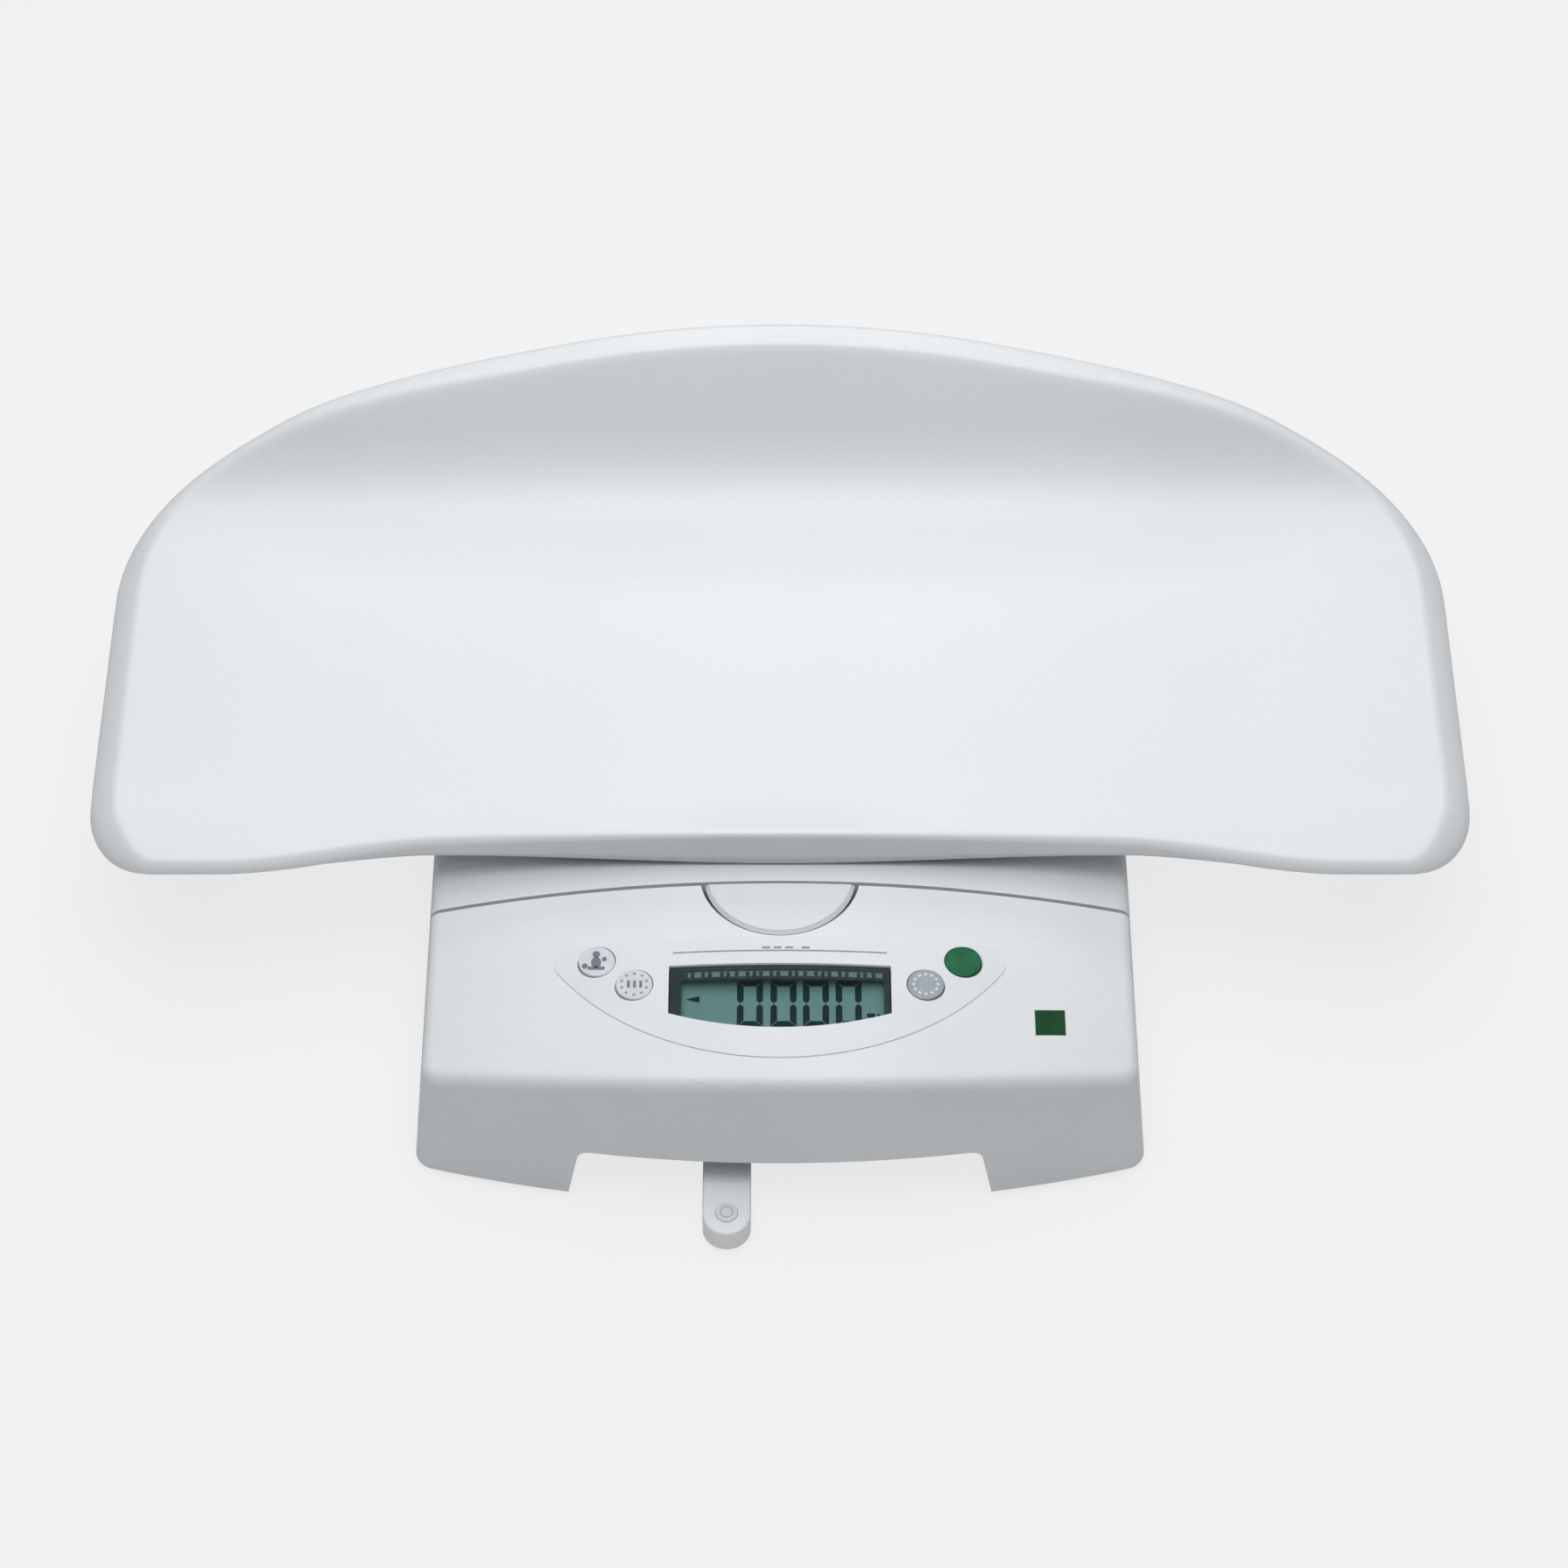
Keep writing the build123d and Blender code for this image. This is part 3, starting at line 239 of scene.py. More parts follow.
def printed_film():
    """Polyester film printed from behind in a light cool grey: almost smooth, faintly satin."""
    return grained("printed_polyester_film", "#E1E5E9", "#D9DEE3", 1.0, 0.003, 0.4,
                   drift_mm=40.0)


def key_rubber(name, light, dark):
    """Silicone key with a soft-touch lacquer: smooth, dull, with little sheen."""
    return grained(name, light, dark, 0.9, 0.006, 0.5, ior=1.3, drift_mm=7.0)


def battery_sleeve():
    """Shrink film on a battery: dark, glossy, with faint bands."""
    return grained("battery_shrink_film", "#3D4654", "#222A36", 3.0, 0.005, 0.25, coat=0.5,
                   drift_mm=10.0)


def printing_ink(name, light, dark):
    """Screen printing ink: a flat, dull colour with a faint grain."""
    return grained(name, light, dark, 0.8, 0.003, 0.6, ior=1.3, drift_mm=5.0)


def display_glass():
    """Reflective liquid crystal glass: a grey green with a faint cloudy change of tone."""
    material, tree = new_material("liquid_crystal_glass")
    place = add_node(tree, "ShaderNodeTexCoord").outputs["Object"]
    cells = add_node(tree, "ShaderNodeTexNoise", {
        "Vector": place, "Scale": 1 / (9.0 * MM), "Detail": 3.0})
    colour = add_node(tree, "ShaderNodeMix", {
        "Factor": cells.outputs["Fac"], "A": linear("#7DA0A4"), "B": linear("#91B1B5")},
        data_type="RGBA")
    shader = add_node(tree, "ShaderNodeBsdfPrincipled", {
        "Base Color": colour.outputs["Result"], "Roughness": 0.32, "IOR": 1.5})
    add_node(tree, "ShaderNodeOutputMaterial", {"Surface": shader.outputs["BSDF"]})
    return material


def clear_window():
    """Clear acrylic window: a very faint green tint, polished, with light scratches in its gloss."""
    material, tree = new_material("clear_acrylic")
    place = add_node(tree, "ShaderNodeTexCoord").outputs["Object"]
    scratches = add_node(tree, "ShaderNodeTexNoise", {
        "Vector": place, "Scale": 1 / (1.5 * MM), "Detail": 4.0})
    gloss = add_node(tree, "ShaderNodeMapRange", {
        "Value": scratches.outputs["Fac"], "To Min": 0.02, "To Max": 0.1})
    clear = add_node(tree, "ShaderNodeBsdfTransparent", {"Color": linear("#ECF3F1")})
    shine = add_node(tree, "ShaderNodeBsdfGlossy", {
        "Color": linear("#FFFFFF"), "Roughness": gloss.outputs["Result"]})
    angle = add_node(tree, "ShaderNodeFresnel", {"IOR": 1.49})
    both = add_node(tree, "ShaderNodeMixShader", {
        0: angle.outputs["Fac"], 1: clear.outputs["BSDF"], 2: shine.outputs["BSDF"]})
    add_node(tree, "ShaderNodeOutputMaterial", {"Surface": both.outputs["Shader"]})
    return material


def vial_acrylic():
    """The level's acrylic capsule, filled with a pale liquid."""
    return grained("vial_acrylic", "#E4E8EA", "#D6DBDE", 2.0, 0.002, 0.12, ior=1.49, coat=0.6,
                   drift_mm=5.0)


white_abs = moulded_abs()
tray_plastic = satin_tray_plastic()
nylon = saddle_plastic()
lever_abs = lever_plastic()
acetal = natural_acetal()
aluminium = milled_aluminium()
zinc = zinc_plated_steel()
nickel = nickel_plated_steel()
rubber = moulded_rubber()
inner_abs = black_abs()
wheel_nylon = dark_nylon()
board_mask = solder_mask()
film = printed_film()
green_key = key_rubber("green_silicone", "#157248", "#0C5735")
grey_key = key_rubber("grey_silicone", "#A6AFB6", "#949DA5")
pale_key = key_rubber("pale_grey_silicone", "#D6DBDF", "#C8CFD4")
sleeve = battery_sleeve()
glass = display_glass()
window_clear = clear_window()
vial_clear = vial_acrylic()
green_ink = printing_ink("dark_green_ink", "#17502C", "#0E3A1D")
grey_ink = printing_ink("grey_ink", "#9AA1A8", "#888F97")
dark_ink = printing_ink("dark_grey_ink", "#7A818A", "#6A717B")
mask_ink = printing_ink("slate_ink", "#474F57", "#363D45")
segment_ink = printing_ink("liquid_crystal_segment", "#16333A", "#0F282E")

finishes = {
    "housing_white": white_abs,
    "tray_white": tray_plastic,
    "saddle_white": nylon,
    "bare_aluminium": aluminium,
    "fastener_steel": zinc,
    "lever_grey": lever_abs,
    "foot_rubber": rubber,
    "lens_clear": window_clear,
    "lcd_glass": glass,
    "inner_black": inner_abs,
    "board_green": board_mask,
    "chip_black": inner_abs,
    "foil_grey": film,
    "key_green": green_key,
    "key_grey": grey_key,
    "battery_sleeve": sleeve,
    "contact_nickel": nickel,
    "holder_grey": acetal,
    "vial_clear": vial_clear,
    "stud_grey": wheel_nylon,
}


def set_material(piece, material):
    """Gives a piece one material."""
    piece.data.materials.clear()
    piece.data.materials.append(material)


for part in frame["record"]["subparts"]:
    set_material(frame["nodes"][part["node"]], finishes[part["material_slot"]])
set_material(frame["nodes"]["key_mother_child"], pale_key)
set_material(frame["nodes"]["key_unit"], pale_key)


def new_piece(name, shape, material, body):
    """Turns a bmesh into a piece that rides on a body."""
    mesh = bpy.data.meshes.new(name)
    shape.to_mesh(mesh)
    shape.free()
    piece = bpy.data.objects.new(name, mesh)
    bpy.context.scene.collection.objects.link(piece)
    set_material(piece, material)
    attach(piece, body)
    return piece


# Tray

def smooth(share):
    """A share held between nought and one, eased at both ends."""
    share = min(max(share, 0.0), 1.0)
    return share**2 * (3 - 2 * share)


def bow_y(x):
    """The bowed back edge at a distance from the middle."""
    return TRAY_BACK - BACK_RADIUS + math.sqrt(BACK_RADIUS**2 - x**2)


def back_corner(count=40):
    """Places along the rounded back corner, from the straight end of the tray to the bow."""
    side = Vector((TRAY_HALF, BACK_CORNER_Y))
    meeting = Vector((BACK_CORNER_X, bow_y(BACK_CORNER_X)))
    slope = BACK_CORNER_X / (meeting.y - TRAY_BACK + BACK_RADIUS)
    sharp = Vector((TRAY_HALF, meeting.y - (TRAY_HALF - BACK_CORNER_X) * slope))
    side_pull = side.lerp(sharp, SIDE_PULL_SHARE)
    places = []
    for i in range(count + 1):
        t = i / count
        u = 1 - t
        places.append(u**3 * side + 3 * u**2 * t * side_pull + 3 * u * t**2 * sharp
                      + t**3 * meeting)
    return places


CORNER_PLACES = back_corner()


def back_edge_y(x):
    """Where the back edge of the tray lies: a bow between two rounded corners."""
    reach = abs(x)
    if reach <= BACK_CORNER_X:
        return bow_y(reach)
    for outer, inner in zip(CORNER_PLACES, CORNER_PLACES[1:]):
        if inner.x <= reach <= outer.x and outer.x > inner.x:
            return outer.y + (inner.y - outer.y) * (outer.x - reach) / (outer.x - inner.x)
    return BACK_CORNER_Y


def trough_rise(x, y):
    """Rise above the floor: a round foot, a steep wall and a shoulder that follows the edge."""
    ends = smooth((abs(x) - FOOT_FROM_X) / (FOOT_TO_X - FOOT_FROM_X))
    foot = FOOT_RADIUS_MIDDLE + (FOOT_RADIUS_ENDS - FOOT_RADIUS_MIDDLE) * ends
    rounds = foot + SHOULDER_RADIUS
    gain = RIM_HEIGHT - TRAY_FLOOR - rounds * (1 - math.cos(WALL_SLOPE))
    reach = gain / math.tan(WALL_SLOPE)
    start = TRAY_BACK - SHELF - reach - rounds * math.sin(WALL_SLOPE)
    end = back_edge_y(x) - SHELF + (SHELF - SHELF_ENDS) * ends
    if end <= start or y <= start:
        return 0.0
    turn = min((end - start) / rounds, math.sin(WALL_SLOPE))
    lift = 1 - math.sqrt(1 - turn**2)
    foot_end = start + foot * turn
    shoulder_start = end - SHOULDER_RADIUS * turn
    if y < foot_end:
        return foot - math.sqrt(foot**2 - (y - start)**2)
    if y < shoulder_start:
        return foot * lift + (y - foot_end) * math.tan(WALL_SLOPE)
    rim = rounds * lift + (shoulder_start - foot_end) * math.tan(WALL_SLOPE)
    if y < end:
        return rim - SHOULDER_RADIUS + math.sqrt(SHOULDER_RADIUS**2 - (end - y)**2)
    return rim


def lip_change(x, y):
    """The front edge rises in the middle and droops at both ends."""
    start = TRAY_FRONT + CENTRE_SETBACK / 2 + LIP_DEPTH
    if y >= start:
        return 0.0
    bell = (1 + math.cos(math.pi * min(abs(x) / LIP_END_X, 1))) / 2
    share = (start - y) / LIP_DEPTH
    return (bell * (LIP_RISE + LIP_DROOP) - LIP_DROOP) * share**2


def tray_top(x, y):
    """Height of the tray's upper surface."""
    return TRAY_FLOOR + trough_rise(x, y) + lip_change(x, y)


def arc_points(centre, radius, start, end, count):
    """Places along an arc, its last one left to what follows."""
    turns = [start + (end - start) * i / count for i in range(count)]
    return [centre + radius * Vector((math.cos(a), math.sin(a))) for a in turns]


def front_edge_y(x):
    """The waved front edge: a setback in the middle, a deeper one beside it, lobes outside."""
    reach = abs(x)
    if reach >= WAIST_X:
        return TRAY_FRONT
    if reach >= NECK_X:
        return TRAY_FRONT + NECK_SETBACK * smooth((WAIST_X - reach) / (WAIST_X - NECK_X))
    setback = CENTRE_SETBACK + (NECK_SETBACK - CENTRE_SETBACK) * smooth(reach / NECK_X)
    return TRAY_FRONT + setback


def tray_outline(step):
    """The tray's plan as an even loop of places, starting in the middle of the front."""
    edge_x = TRAY_HALF - FRONT_CORNER
    front_count, corner_count, bow_count = 80, 14, 60
    xs = [edge_x * i / front_count for i in range(front_count)]
    right = [Vector((x, front_edge_y(x))) for x in xs]
    right += arc_points(Vector((edge_x, TRAY_FRONT + FRONT_CORNER)), FRONT_CORNER,
                        -math.pi / 2, 0, corner_count)
    bow_centre = Vector((0, TRAY_BACK - BACK_RADIUS))
    meeting = math.acos(BACK_CORNER_X / BACK_RADIUS)
    right += [Vector((TRAY_HALF, TRAY_FRONT + FRONT_CORNER))]
    right += CORNER_PLACES[:-1]
    right += arc_points(bow_centre, BACK_RADIUS, meeting, math.pi / 2, bow_count)
    right.append(Vector((0, TRAY_BACK)))
    left = [Vector((-p.x, p.y)) for p in reversed(right[1:-1])]
    return evenly(right + left, step)


def evenly(loop, step):
    """A closed loop of places spaced evenly along its length."""
    ends = loop[1:] + loop[:1]
    lengths = [(b - a).length for a, b in zip(loop, ends)]
    count = round(sum(lengths) / step)
    pitch = sum(lengths) / count
    even = []
    walked = 0.0
    target = 0.0
    for a, b, length in zip(loop, ends, lengths):
        while target < walked + length - 1e-9 and len(even) < count:
            even.append(a.lerp(b, (target - walked) / length))
            target += pitch
        walked += length
    return even


def inward(loop):
    """The inward direction at each place of a loop that runs anticlockwise."""
    dirs = []
    for before, after in zip(loop[-1:] + loop[:-1], loop[1:] + loop[:1]):
        run = (after - before).normalized()
        dirs.append(Vector((-run.y, run.x)))
    return dirs


def rim_size(way):
    """Width, depth and crease of the rounded rim: small along the tray, broad at its ends."""
    ends = smooth(abs(way.x))
    width = RIM_WIDTH + (RIM_WIDTH_ENDS - RIM_WIDTH) * ends
    depth = RIM_WIDTH + (RIM_DEPTH_ENDS - RIM_WIDTH) * ends
    return width, depth, CREASE_SHARE_ENDS * ends


def tray_sheet():
    """The whole tray as one closed skin: top, rounded rim, turned-down flange and underside."""
    shape = bmesh.new()
    loop = tray_outline(OUTLINE_STEP)
    ways = inward(loop)
    spine = [Vector((min(max(p.x, -SPINE_HALF), SPINE_HALF), SPINE_Y)) for p in loop]
    rings = []

    def ring(place):
        """Adds one closed row of vertices, placed by a function of the station."""
        row = [shape.verts.new(spot(*place(p, way, c))) for p, way, c in zip(loop, ways, spine)]
        rings.append(row)

    def on_top(p, drop=0.0):
        return (p.x, p.y, tray_top(p.x, p.y) - drop)

    def foot_z(p, way):
        foot = TRAY_FLOOR + trough_rise(p.x, p.y) - FLANGE
        return min(foot, tray_top(p.x, p.y) - rim_size(way)[1] - FLANGE_LEAST)

    field_rows = 64
    for i in range(field_rows):
        share = SPINE_SHARE * (1 - i / field_rows)
        ring(lambda p, way, c: on_top((p + way * rim_size(way)[0]).lerp(c, share)))
    round_rows = 10
    for i in range(round_rows):
        out = math.sin(math.pi / 2 * i / (round_rows - 1))
        fall = 1 - math.sqrt(1 - out**2)

        def rounded(p, way, c):
            width, depth, crease = rim_size(way)
            q = p + way * width * (1 - out)
            return on_top(q, depth * (crease * out + (1 - crease) * fall))

        ring(rounded)
    for share in FLANGE_STATIONS:
        def flange(p, way, c):
            top = tray_top(p.x, p.y) - rim_size(way)[1]
            return (p.x, p.y, top + (foot_z(p, way) - top) * share)

        ring(flange)
    for inset, lift in ((EDGE_INSET, -EDGE_ROUND), (TRAY_WALL - EDGE_INSET, -EDGE_ROUND),
                        (TRAY_WALL, EDGE_STEP)):
        def lower_edge(p, way, c):
            q = p + way * inset
            return (q.x, q.y, foot_z(p, way) + lift)

        ring(lower_edge)
    under_rows = 44
    for i in range(under_rows):
        share = SPINE_SHARE * i / (under_rows - 1)

        def under(p, way, c):
            q = (p + way * (TRAY_WALL + rim_size(way)[0] / 2)).lerp(c, share)
            rise = tray_top(q.x, q.y + SLOPE_SPAN / 2) - tray_top(q.x, q.y - SLOPE_SPAN / 2)
            return on_top(q, TRAY_WALL * math.sqrt(1 + (rise / SLOPE_SPAN)**2))

        ring(under)
    for outer, inner in zip(rings, rings[1:]):
        for i, vert in enumerate(outer):
            j = (i + 1) % len(outer)
            shape.faces.new((vert, outer[j], inner[j], inner[i]))
    close_spine(shape, rings[0])
    close_spine(shape, rings[-1])
    bmesh.ops.remove_doubles(shape, verts=shape.verts, dist=0.01 * MM)
    bmesh.ops.recalc_face_normals(shape, faces=shape.faces)
    for face in shape.faces:
        face.smooth = True
    return shape


def close_spine(shape, row):
    """Closes the slit along the spine, walking from its right end along both of its edges."""
    count = len(row)
    spine_y = spot(0, SPINE_Y, 0).y
    right_half = [i for i in range(count) if row[i].co.x > 0]
    start = min(right_half, key=lambda i: abs(row[i].co.y - spine_y))
    for k in range(count // 2):
        quad = [row[(start + i) % count] for i in (-k, -k - 1, k + 1, k)]
        corners = [v for i, v in enumerate(quad) if v not in quad[:i]]
        if len(corners) > 2:
            shape.faces.new(corners)


tray = new_piece("tray_moulding", tray_sheet(), tray_plastic, "tray_body")
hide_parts("tray")


# Flat print: outlines laid on a surface with a real thickness

INK_HEIGHT = 0.12


def flat_print(shape, outlines, height_at, thickness=INK_HEIGHT):
    """Adds closed outlines as thin raised plates whose underside follows a surface."""
    for outline in outlines:
        low = [shape.verts.new(spot(x, y, height_at(x, y))) for x, y in outline]
        high = [shape.verts.new(spot(x, y, height_at(x, y) + thickness)) for x, y in outline]
        shape.faces.new(high)
        shape.faces.new(low[::-1])
        for i in range(len(low)):
            j = (i + 1) % len(low)
            shape.faces.new((low[i], low[j], high[j], high[i]))
    bmesh.ops.recalc_face_normals(shape, faces=shape.faces)


def printed(name, outlines, height_at, material, body, thickness=INK_HEIGHT):
    """One printed piece made of several outlines."""
    shape = bmesh.new()
    flat_print(shape, outlines, height_at, thickness)
    return new_piece(name, shape, material, body)


def disc_outline(x, y, radius_x, radius_y=None, count=28):
    """An ellipse as an outline."""
    radius_y = radius_y or radius_x
    turns = [2 * math.pi * i / count for i in range(count)]
    return [(x + radius_x * math.cos(a), y + radius_y * math.sin(a)) for a in turns]


def bar_outline(x0, x1, y0, y1):
    """A plain bar as an outline."""
    return [(x0, y0), (x1, y0), (x1, y1), (x0, y1)]


# Display: segments on the glass, and a printed mask under the window

GLASS_TOP = 72.8
DIGIT_LEFTS = (-16.8, -3.7, 9.0, 21.8)
DIGIT_WIDTH = 10.2
DIGIT_FRONT = 37.2
DIGIT_BACK = 59.2
STROKE = 2.6
MITRE_GAP = 0.22
STABLE_MARK = [(-37.0, 50.2), (-31.5, 48.6), (-31.5, 51.8)]
UNIT_DASH = (34.0, 37.2, 41.6, 43.4)
UNIT_DOT = (38.6, 42.4)
UNIT_DOT_RADIUS = 0.7


def zero_segments(left):
    """Six mitred segments of a seven-segment zero."""
    right = left + DIGIT_WIDTH
    front = DIGIT_FRONT
    back = DIGIT_BACK
    middle = (front + back) / 2
    g = MITRE_GAP
    s = STROKE
    half = s / 2
    segments = [
        [(left + g, back), (right - g, back), (right - s - g, back - s), (left + s + g, back - s)],
        [(left + g, front), (left + s + g, front + s), (right - s - g, front + s),
         (right - g, front)],
    ]
    for y_end, y_mid in ((back, middle), (front, middle)):
        sign = 1 if y_end > y_mid else -1
        segments.append([
            (left, y_end - sign * g), (left + s, y_end - sign * (s + g)),
            (left + s, y_mid + sign * (half + g)), (left + half, y_mid + sign * g),
            (left, y_mid + sign * (half + g))])
        segments.append([
            (right, y_end - sign * g), (right - s, y_end - sign * (s + g)),
            (right - s, y_mid + sign * (half + g)), (right - half, y_mid + sign * g),
            (right, y_mid + sign * (half + g))])
    return segments


def display_segments():
    """Four zeros, the stable mark on their left and the unit mark on their right."""
    outlines = [segment for left in DIGIT_LEFTS for segment in zero_segments(left)]
    outlines.append(STABLE_MARK)
    outlines.append(bar_outline(*UNIT_DASH))
    outlines.append(disc_outline(*UNIT_DOT, UNIT_DOT_RADIUS, count=12))
    return printed("display_segments", outlines, lambda x, y: GLASS_TOP, segment_ink, "base")


WINDOW_HALF = 43.1
WINDOW_BACK = 61.1
WINDOW_CORNER = 38.9
MASK_LEFT = 4.6
MASK_RIGHT = 2.4
MASK_BACK = 5.2
LENS_UNDERSIDE = 2.42
MARK_WIDTHS = (1.0, 2.6, 1.2, 3.2, 1.0, 1.8, 2.8, 1.2)
MARK_GAP = 1.5
MARK_FRONT_INSET = 1.3
MARK_BACK_INSET = 1.5
MARKS_FROM_X = -36.0
MARKS_TO_X = WINDOW_HALF - MASK_RIGHT - 2
THIN_PRINT = 0.05
PRINT_GAP = 0.01


def mask_height(x, y):
    """Just under the window's lower face, which follows the crown."""
    return crown_z(x) - LENS_UNDERSIDE - INK_HEIGHT


def display_mask():
    """The dark printed border under the window: along its back and down both sides."""
    inner_left = -WINDOW_HALF + MASK_LEFT
    inner_right = WINDOW_HALF - MASK_RIGHT
    inner_back = WINDOW_BACK - MASK_BACK
    columns = 24
    width = 2 * WINDOW_HALF / columns
    outlines = []
    for i in range(columns):
        x0 = -WINDOW_HALF + width * i
        outlines.append(bar_outline(x0, x0 + width, inner_back, WINDOW_BACK))
    outlines.append(bar_outline(-WINDOW_HALF, inner_left, WINDOW_CORNER, inner_back))
    outlines.append(bar_outline(inner_right, WINDOW_HALF, WINDOW_CORNER, inner_back))
    return printed("display_mask", outlines, mask_height, mask_ink, "base")


def mask_marks():
    """A row of pale ticks and dashes on the mask, over what they would label."""
    outlines = []
    front = WINDOW_BACK - MASK_BACK + MARK_FRONT_INSET
    back = WINDOW_BACK - MARK_BACK_INSET
    x = MARKS_FROM_X
    while x < MARKS_TO_X:
        width = MARK_WIDTHS[len(outlines) % len(MARK_WIDTHS)]
        outlines.append(bar_outline(x, x + width, front, back))
        x += width + MARK_GAP
    return printed("display_mask_marks", outlines,
                   lambda x, y: mask_height(x, y) + INK_HEIGHT + PRINT_GAP, grey_ink, "base",
                   thickness=THIN_PRINT)


display_segments()
display_mask()
mask_marks()


# Print on the film and on the keys

FILM_TOP = 0.5
KEY_OVER_FILM = 0.7
FILM_PRINT = 0.04
LINE_Y = 67.2
LINE_HALF = 42.0
LINE_WIDTH = 0.7
LINE_PIECES = 24
TICK_LEFTS = (-7.0, -2.5, 2.0, 8.5)
TICK_LENGTH = 3.2
TICK_FRONT = LINE_Y + 1.3
TICK_BACK = LINE_Y + 2.3


def film_height(x, y):
    """Top of the printed film over the crown."""
    return crown_z(x) + FILM_TOP + PRINT_GAP


def film_line():
    """A fine line over the window with three short ticks in its middle and one beside them."""
    width = 2 * LINE_HALF / LINE_PIECES
    outlines = [bar_outline(-LINE_HALF + width * i, -LINE_HALF + width * (i + 1), LINE_Y,
                            LINE_Y + LINE_WIDTH) for i in range(LINE_PIECES)]
    outlines += [bar_outline(x, x + TICK_LENGTH, TICK_FRONT, TICK_BACK) for x in TICK_LEFTS]
    return printed("film_line", outlines, film_height, grey_ink, "base",
                   thickness=FILM_PRINT)


KEYS = {
    "key_start": (72.0, 65.6),
    "key_hold": (57.0, 53.0),
    "key_unit": (-57.0, 53.0),
    "key_mother_child": (-72.0, 65.6),
}


def key_top(name):
    """Height function of a key's flat top."""
    top = crown_z(KEYS[name][0]) + FILM_TOP + KEY_OVER_FILM
    return lambda x, y: top + PRINT_GAP


def ring_of_ticks(x, y, radius, count, length, width, phase=0.0):
    """Short ticks in a ring."""
    outlines = []
    for i in range(count):
        a = 2 * math.pi * (i + phase) / count
        out = Vector((math.cos(a), math.sin(a)))
        side = Vector((-out.y, out.x)) * width / 2
        near = Vector((x, y)) + out * radius
        far = near + out * length
        outlines.append([tuple(near - side), tuple(far - side), tuple(far + side),
                         tuple(near + side)])
    return outlines


def key_marks():
    """The marks on the three grey keys: a large and a small figure, bars in a ring, a hold ring."""
    x, y = KEYS["key_mother_child"]
    adult = [disc_outline(x - 0.2, y + 3.3, 1.5, 1.6), disc_outline(x - 0.2, y - 0.6, 2.0, 2.6),
             bar_outline(x - 3.4, x + 3.2, y - 4.2, y - 2.6)]
    child = [disc_outline(x + 3.0, y + 1.0, 1.0, 1.1), disc_outline(x - 4.6, y - 2.4, 1.2, 1.3)]
    printed("mother_child_mark", adult + child, key_top("key_mother_child"), dark_ink,
            "key_mother_child_body", thickness=THIN_PRINT)
    x, y = KEYS["key_unit"]
    bars = [bar_outline(x + dx - 0.55, x + dx + 0.55, y - 1.7, y + 1.7) for dx in (-2.2, 0.2, 2.6)]
    printed("unit_mark", bars, key_top("key_unit"), dark_ink, "key_unit_body",
            thickness=THIN_PRINT)
    ticks = ring_of_ticks(x, y, 4.6, 10, 1.0, 1.1, phase=0.5)
    printed("unit_ring", ticks, key_top("key_unit"), grey_ink, "key_unit_body",
            thickness=THIN_PRINT)
    x, y = KEYS["key_hold"]
    ticks = ring_of_ticks(x, y, 4.2, 12, 1.1, 1.3)
    printed("hold_mark", ticks, key_top("key_hold"), pale_key, "key_hold_body",
            thickness=THIN_PRINT)


film_line()
key_marks()


# Small square label on the panel

LABEL_CENTRE = (105.6, 41.0)
LABEL_SIDE = 12.0
LABEL_TURN = 0.15
LABEL_COLUMNS = 6
LABEL_PRINT = 0.15


def square_label():
    """A plain dark green label over the crown, turned a little so that its edges look level."""
    cx, cy = LABEL_CENTRE
    half = LABEL_SIDE / 2
    width = LABEL_SIDE / LABEL_COLUMNS
    outlines = []
    for i in range(LABEL_COLUMNS):
        x0 = -half + width * i
        outlines.append([(cx + x, cy + y + LABEL_TURN * x) for x, y in bar_outline(
            x0, x0 + width, -half, half)])
    return printed("square_label", outlines, lambda x, y: crown_z(x) + PRINT_GAP, green_ink,
                   "base", thickness=LABEL_PRINT)


square_label()


# Spirit level: two rings on the vial

VIAL = (-21.0, -11.0)
VIAL_TOP = 15.5
BUBBLE_RING = (2.3, 2.6, VIAL_TOP + 0.02)
CAPSULE_RING = (4.15, 4.5, VIAL_TOP - 0.43)


def level_marks():
    """The two thin rings of the level: round the bubble's place and round the capsule."""
    ring = bmesh.new()
    count = 40
    for inner, outer, top in (BUBBLE_RING, CAPSULE_RING):
        low_z = top - THIN_PRINT
        section = ((inner, low_z), (outer, low_z), (outer, top), (inner, top))
        loops = [[ring.verts.new(spot(VIAL[0] + radius * math.cos(2 * math.pi * i / count),
                                      VIAL[1] + radius * math.sin(2 * math.pi * i / count), z))
                  for i in range(count)] for radius, z in section]
        for k in range(4):
            low, high = loops[k], loops[(k + 1) % 4]
            for i in range(count):
                j = (i + 1) % count
                ring.faces.new((low[i], low[j], high[j], high[i]))
    bmesh.ops.recalc_face_normals(ring, faces=ring.faces[:])
    return new_piece("level_ring", ring, grey_ink, "base")


level_marks()


# Floor, light and camera

FLOOR_HALF = 4.0
PAPER_GLOW = 0.9
PAPER_GLOW_SHARE = 0.86
FILL_LIGHT = 0.06


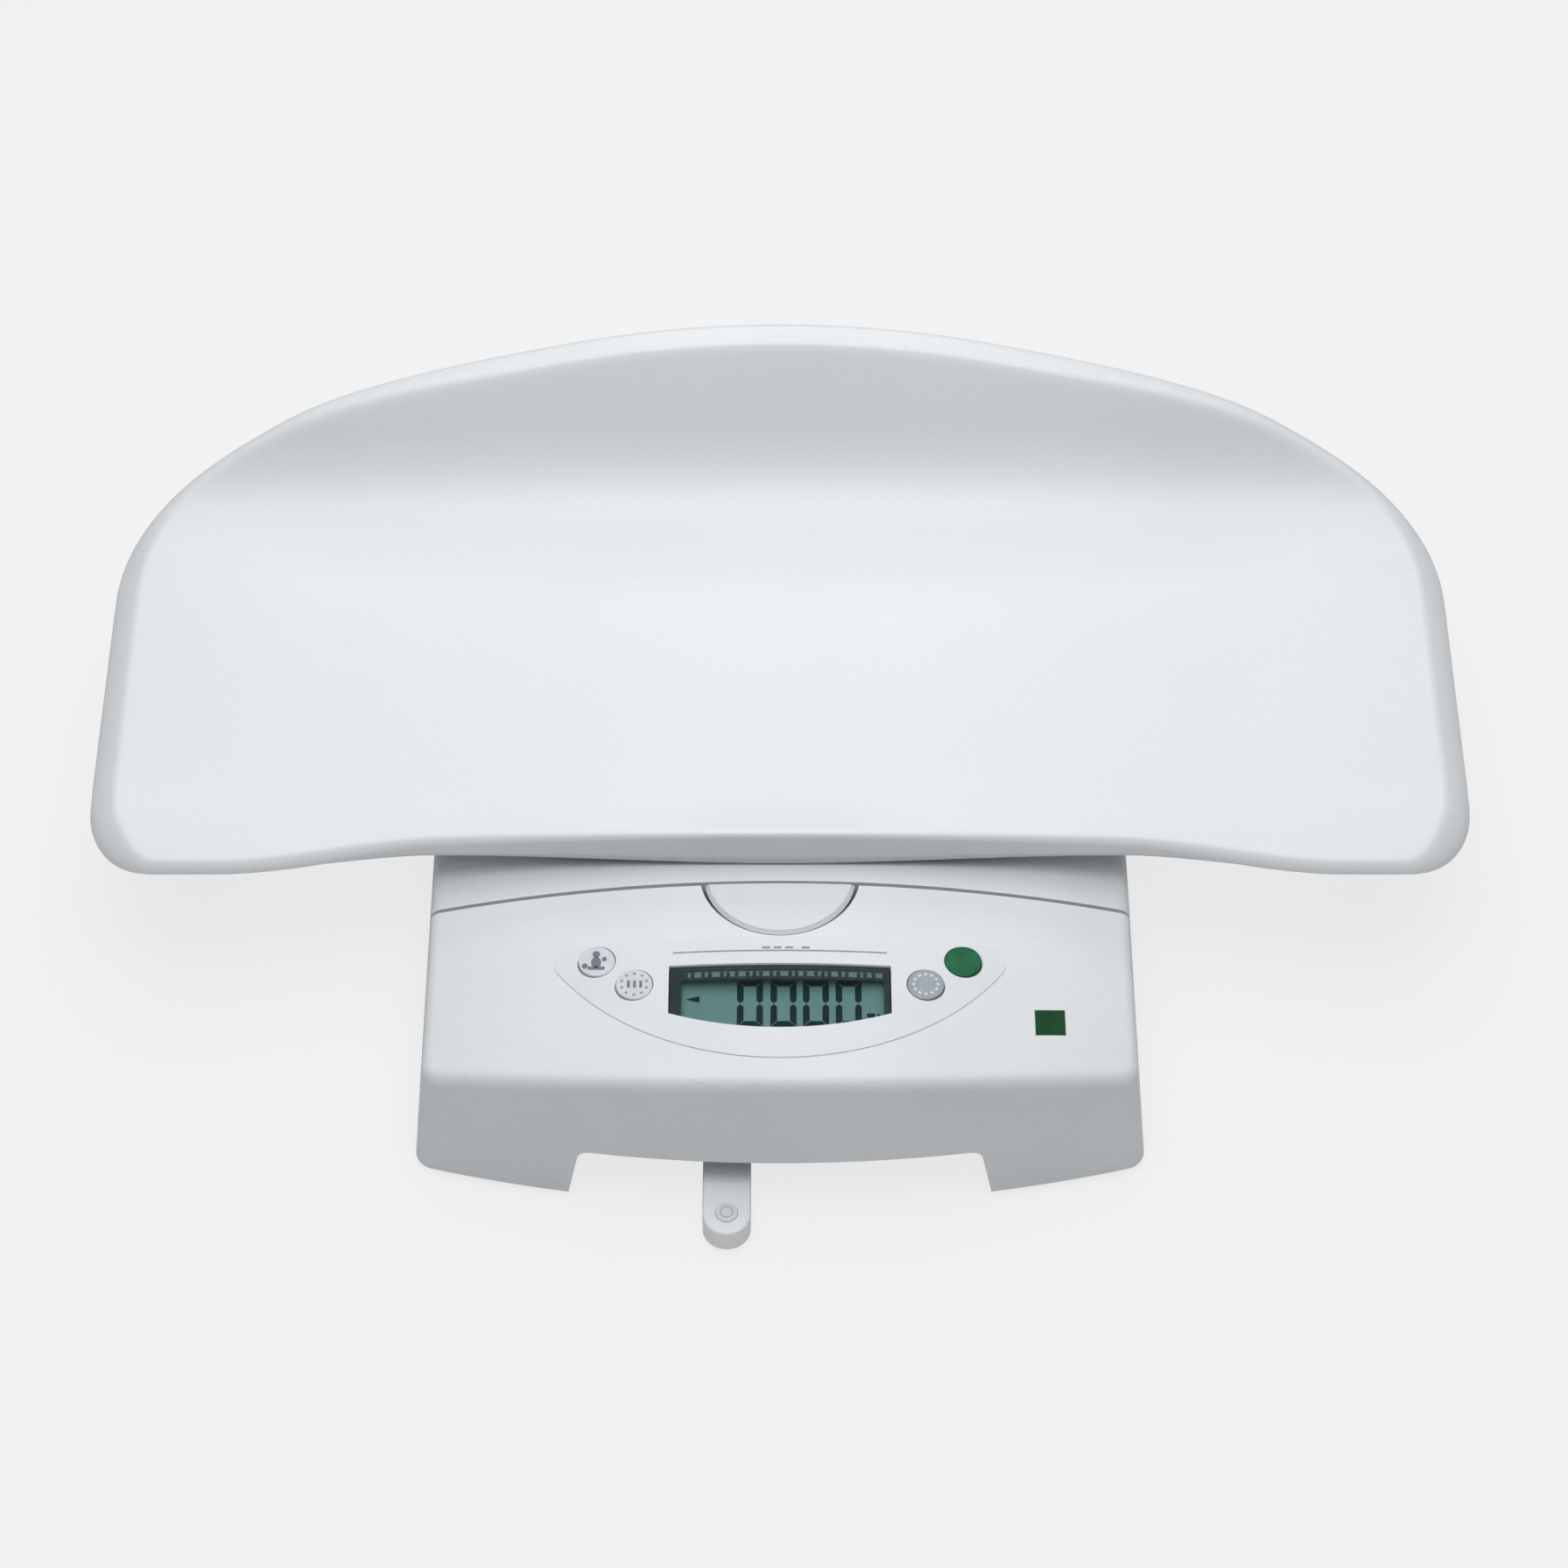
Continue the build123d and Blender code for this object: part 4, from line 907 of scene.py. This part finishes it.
def paper_floor():
    """A plain white sheet that the camera sees as white and that keeps the shadow soft."""
    mesh = bpy.data.meshes.new("floor")
    corners = bar_outline(-FLOOR_HALF, FLOOR_HALF, -FLOOR_HALF, FLOOR_HALF)
    mesh.from_pydata([(x, y, 0) for x, y in corners], [], [(0, 1, 2, 3)])
    floor = bpy.data.objects.new("floor", mesh)
    bpy.context.scene.collection.objects.link(floor)
    material, tree = new_material("white_paper")
    path = add_node(tree, "ShaderNodeLightPath")
    paper = add_node(tree, "ShaderNodeBsdfDiffuse", {"Color": linear("#F4F4F4")})
    glow = add_node(tree, "ShaderNodeEmission", {
        "Color": (1, 1, 1, 1), "Strength": PAPER_GLOW})
    white = add_node(tree, "ShaderNodeMixShader", {
        0: PAPER_GLOW_SHARE, 1: paper.outputs["BSDF"], 2: glow.outputs["Emission"]})
    seen = add_node(tree, "ShaderNodeMath", {
        0: path.outputs["Is Camera Ray"], 1: path.outputs["Is Transmission Ray"]},
        operation="MAXIMUM")
    both = add_node(tree, "ShaderNodeMixShader", {
        0: seen.outputs["Value"], 1: paper.outputs["BSDF"], 2: white.outputs["Shader"]})
    add_node(tree, "ShaderNodeOutputMaterial", {"Surface": both.outputs["Shader"]})
    set_material(floor, material)
    return floor


def studio_world():
    """White to the camera, and an even grey light for everything else."""
    world = bpy.data.worlds.new("studio")
    world.use_nodes = True
    tree = world.node_tree
    tree.nodes.clear()
    path = add_node(tree, "ShaderNodeLightPath")
    level = add_node(tree, "ShaderNodeMapRange", {
        "Value": path.outputs["Is Camera Ray"], "To Min": FILL_LIGHT, "To Max": 1.0})
    light = add_node(tree, "ShaderNodeBackground", {
        "Color": (1, 1, 1, 1), "Strength": level.outputs["Result"]})
    add_node(tree, "ShaderNodeOutputWorld", {"Surface": light.outputs["Background"]})
    bpy.context.scene.world = world


def soft_box(name, place, aim, width, depth, power):
    """A rectangular soft box that points at a place."""
    data = bpy.data.lights.new(name, "AREA")
    data.shape = "RECTANGLE"
    data.size = width
    data.size_y = depth
    data.energy = power
    lamp = bpy.data.objects.new(name, data)
    lamp.location = place
    lamp.rotation_euler = (Vector(aim) - Vector(place)).to_track_quat("-Z", "Y").to_euler()
    bpy.context.scene.collection.objects.link(lamp)
    return lamp


ELEVATION = math.radians(51.0)
FOCAL_SHARE = 5099.7 / 1791
SENSOR = 36.0
CAMERA_TARGET = (1.59, 148.91, 85.0)
CAMERA_REACH = 1800.0


def product_camera():
    """The camera of the photograph, worked out from the tray, the base, the panel and the keys."""
    data = bpy.data.cameras.new("camera")
    data.sensor_fit = "HORIZONTAL"
    data.sensor_width = SENSOR
    data.lens = SENSOR * FOCAL_SHARE
    data.clip_start = 0.05
    data.clip_end = 50.0
    camera = bpy.data.objects.new("camera", data)
    target = spot(*CAMERA_TARGET)
    away = Vector((0, -math.cos(ELEVATION), math.sin(ELEVATION)))
    camera.location = target + away * CAMERA_REACH * MM
    camera.rotation_euler = (math.pi / 2 - ELEVATION, 0, 0)
    bpy.context.scene.collection.objects.link(camera)
    bpy.context.scene.camera = camera


paper_floor()
studio_world()
soft_box("overhead_box", (0.0, 0.1, 1.6), (0.0, 0.1, 0.0), 1.6, 1.6, 18.0)
soft_box("front_box", (0.0, -0.6, 1.6), (0.0, 0.05, 0.08), 0.7, 0.8, 8.0)
soft_box("back_box", (0.0, 1.2, 1.15), (0.0, 0.0, 0.08), 1.0, 0.5, 4.0)
product_camera()
bpy.context.scene.view_settings.view_transform = "Standard"
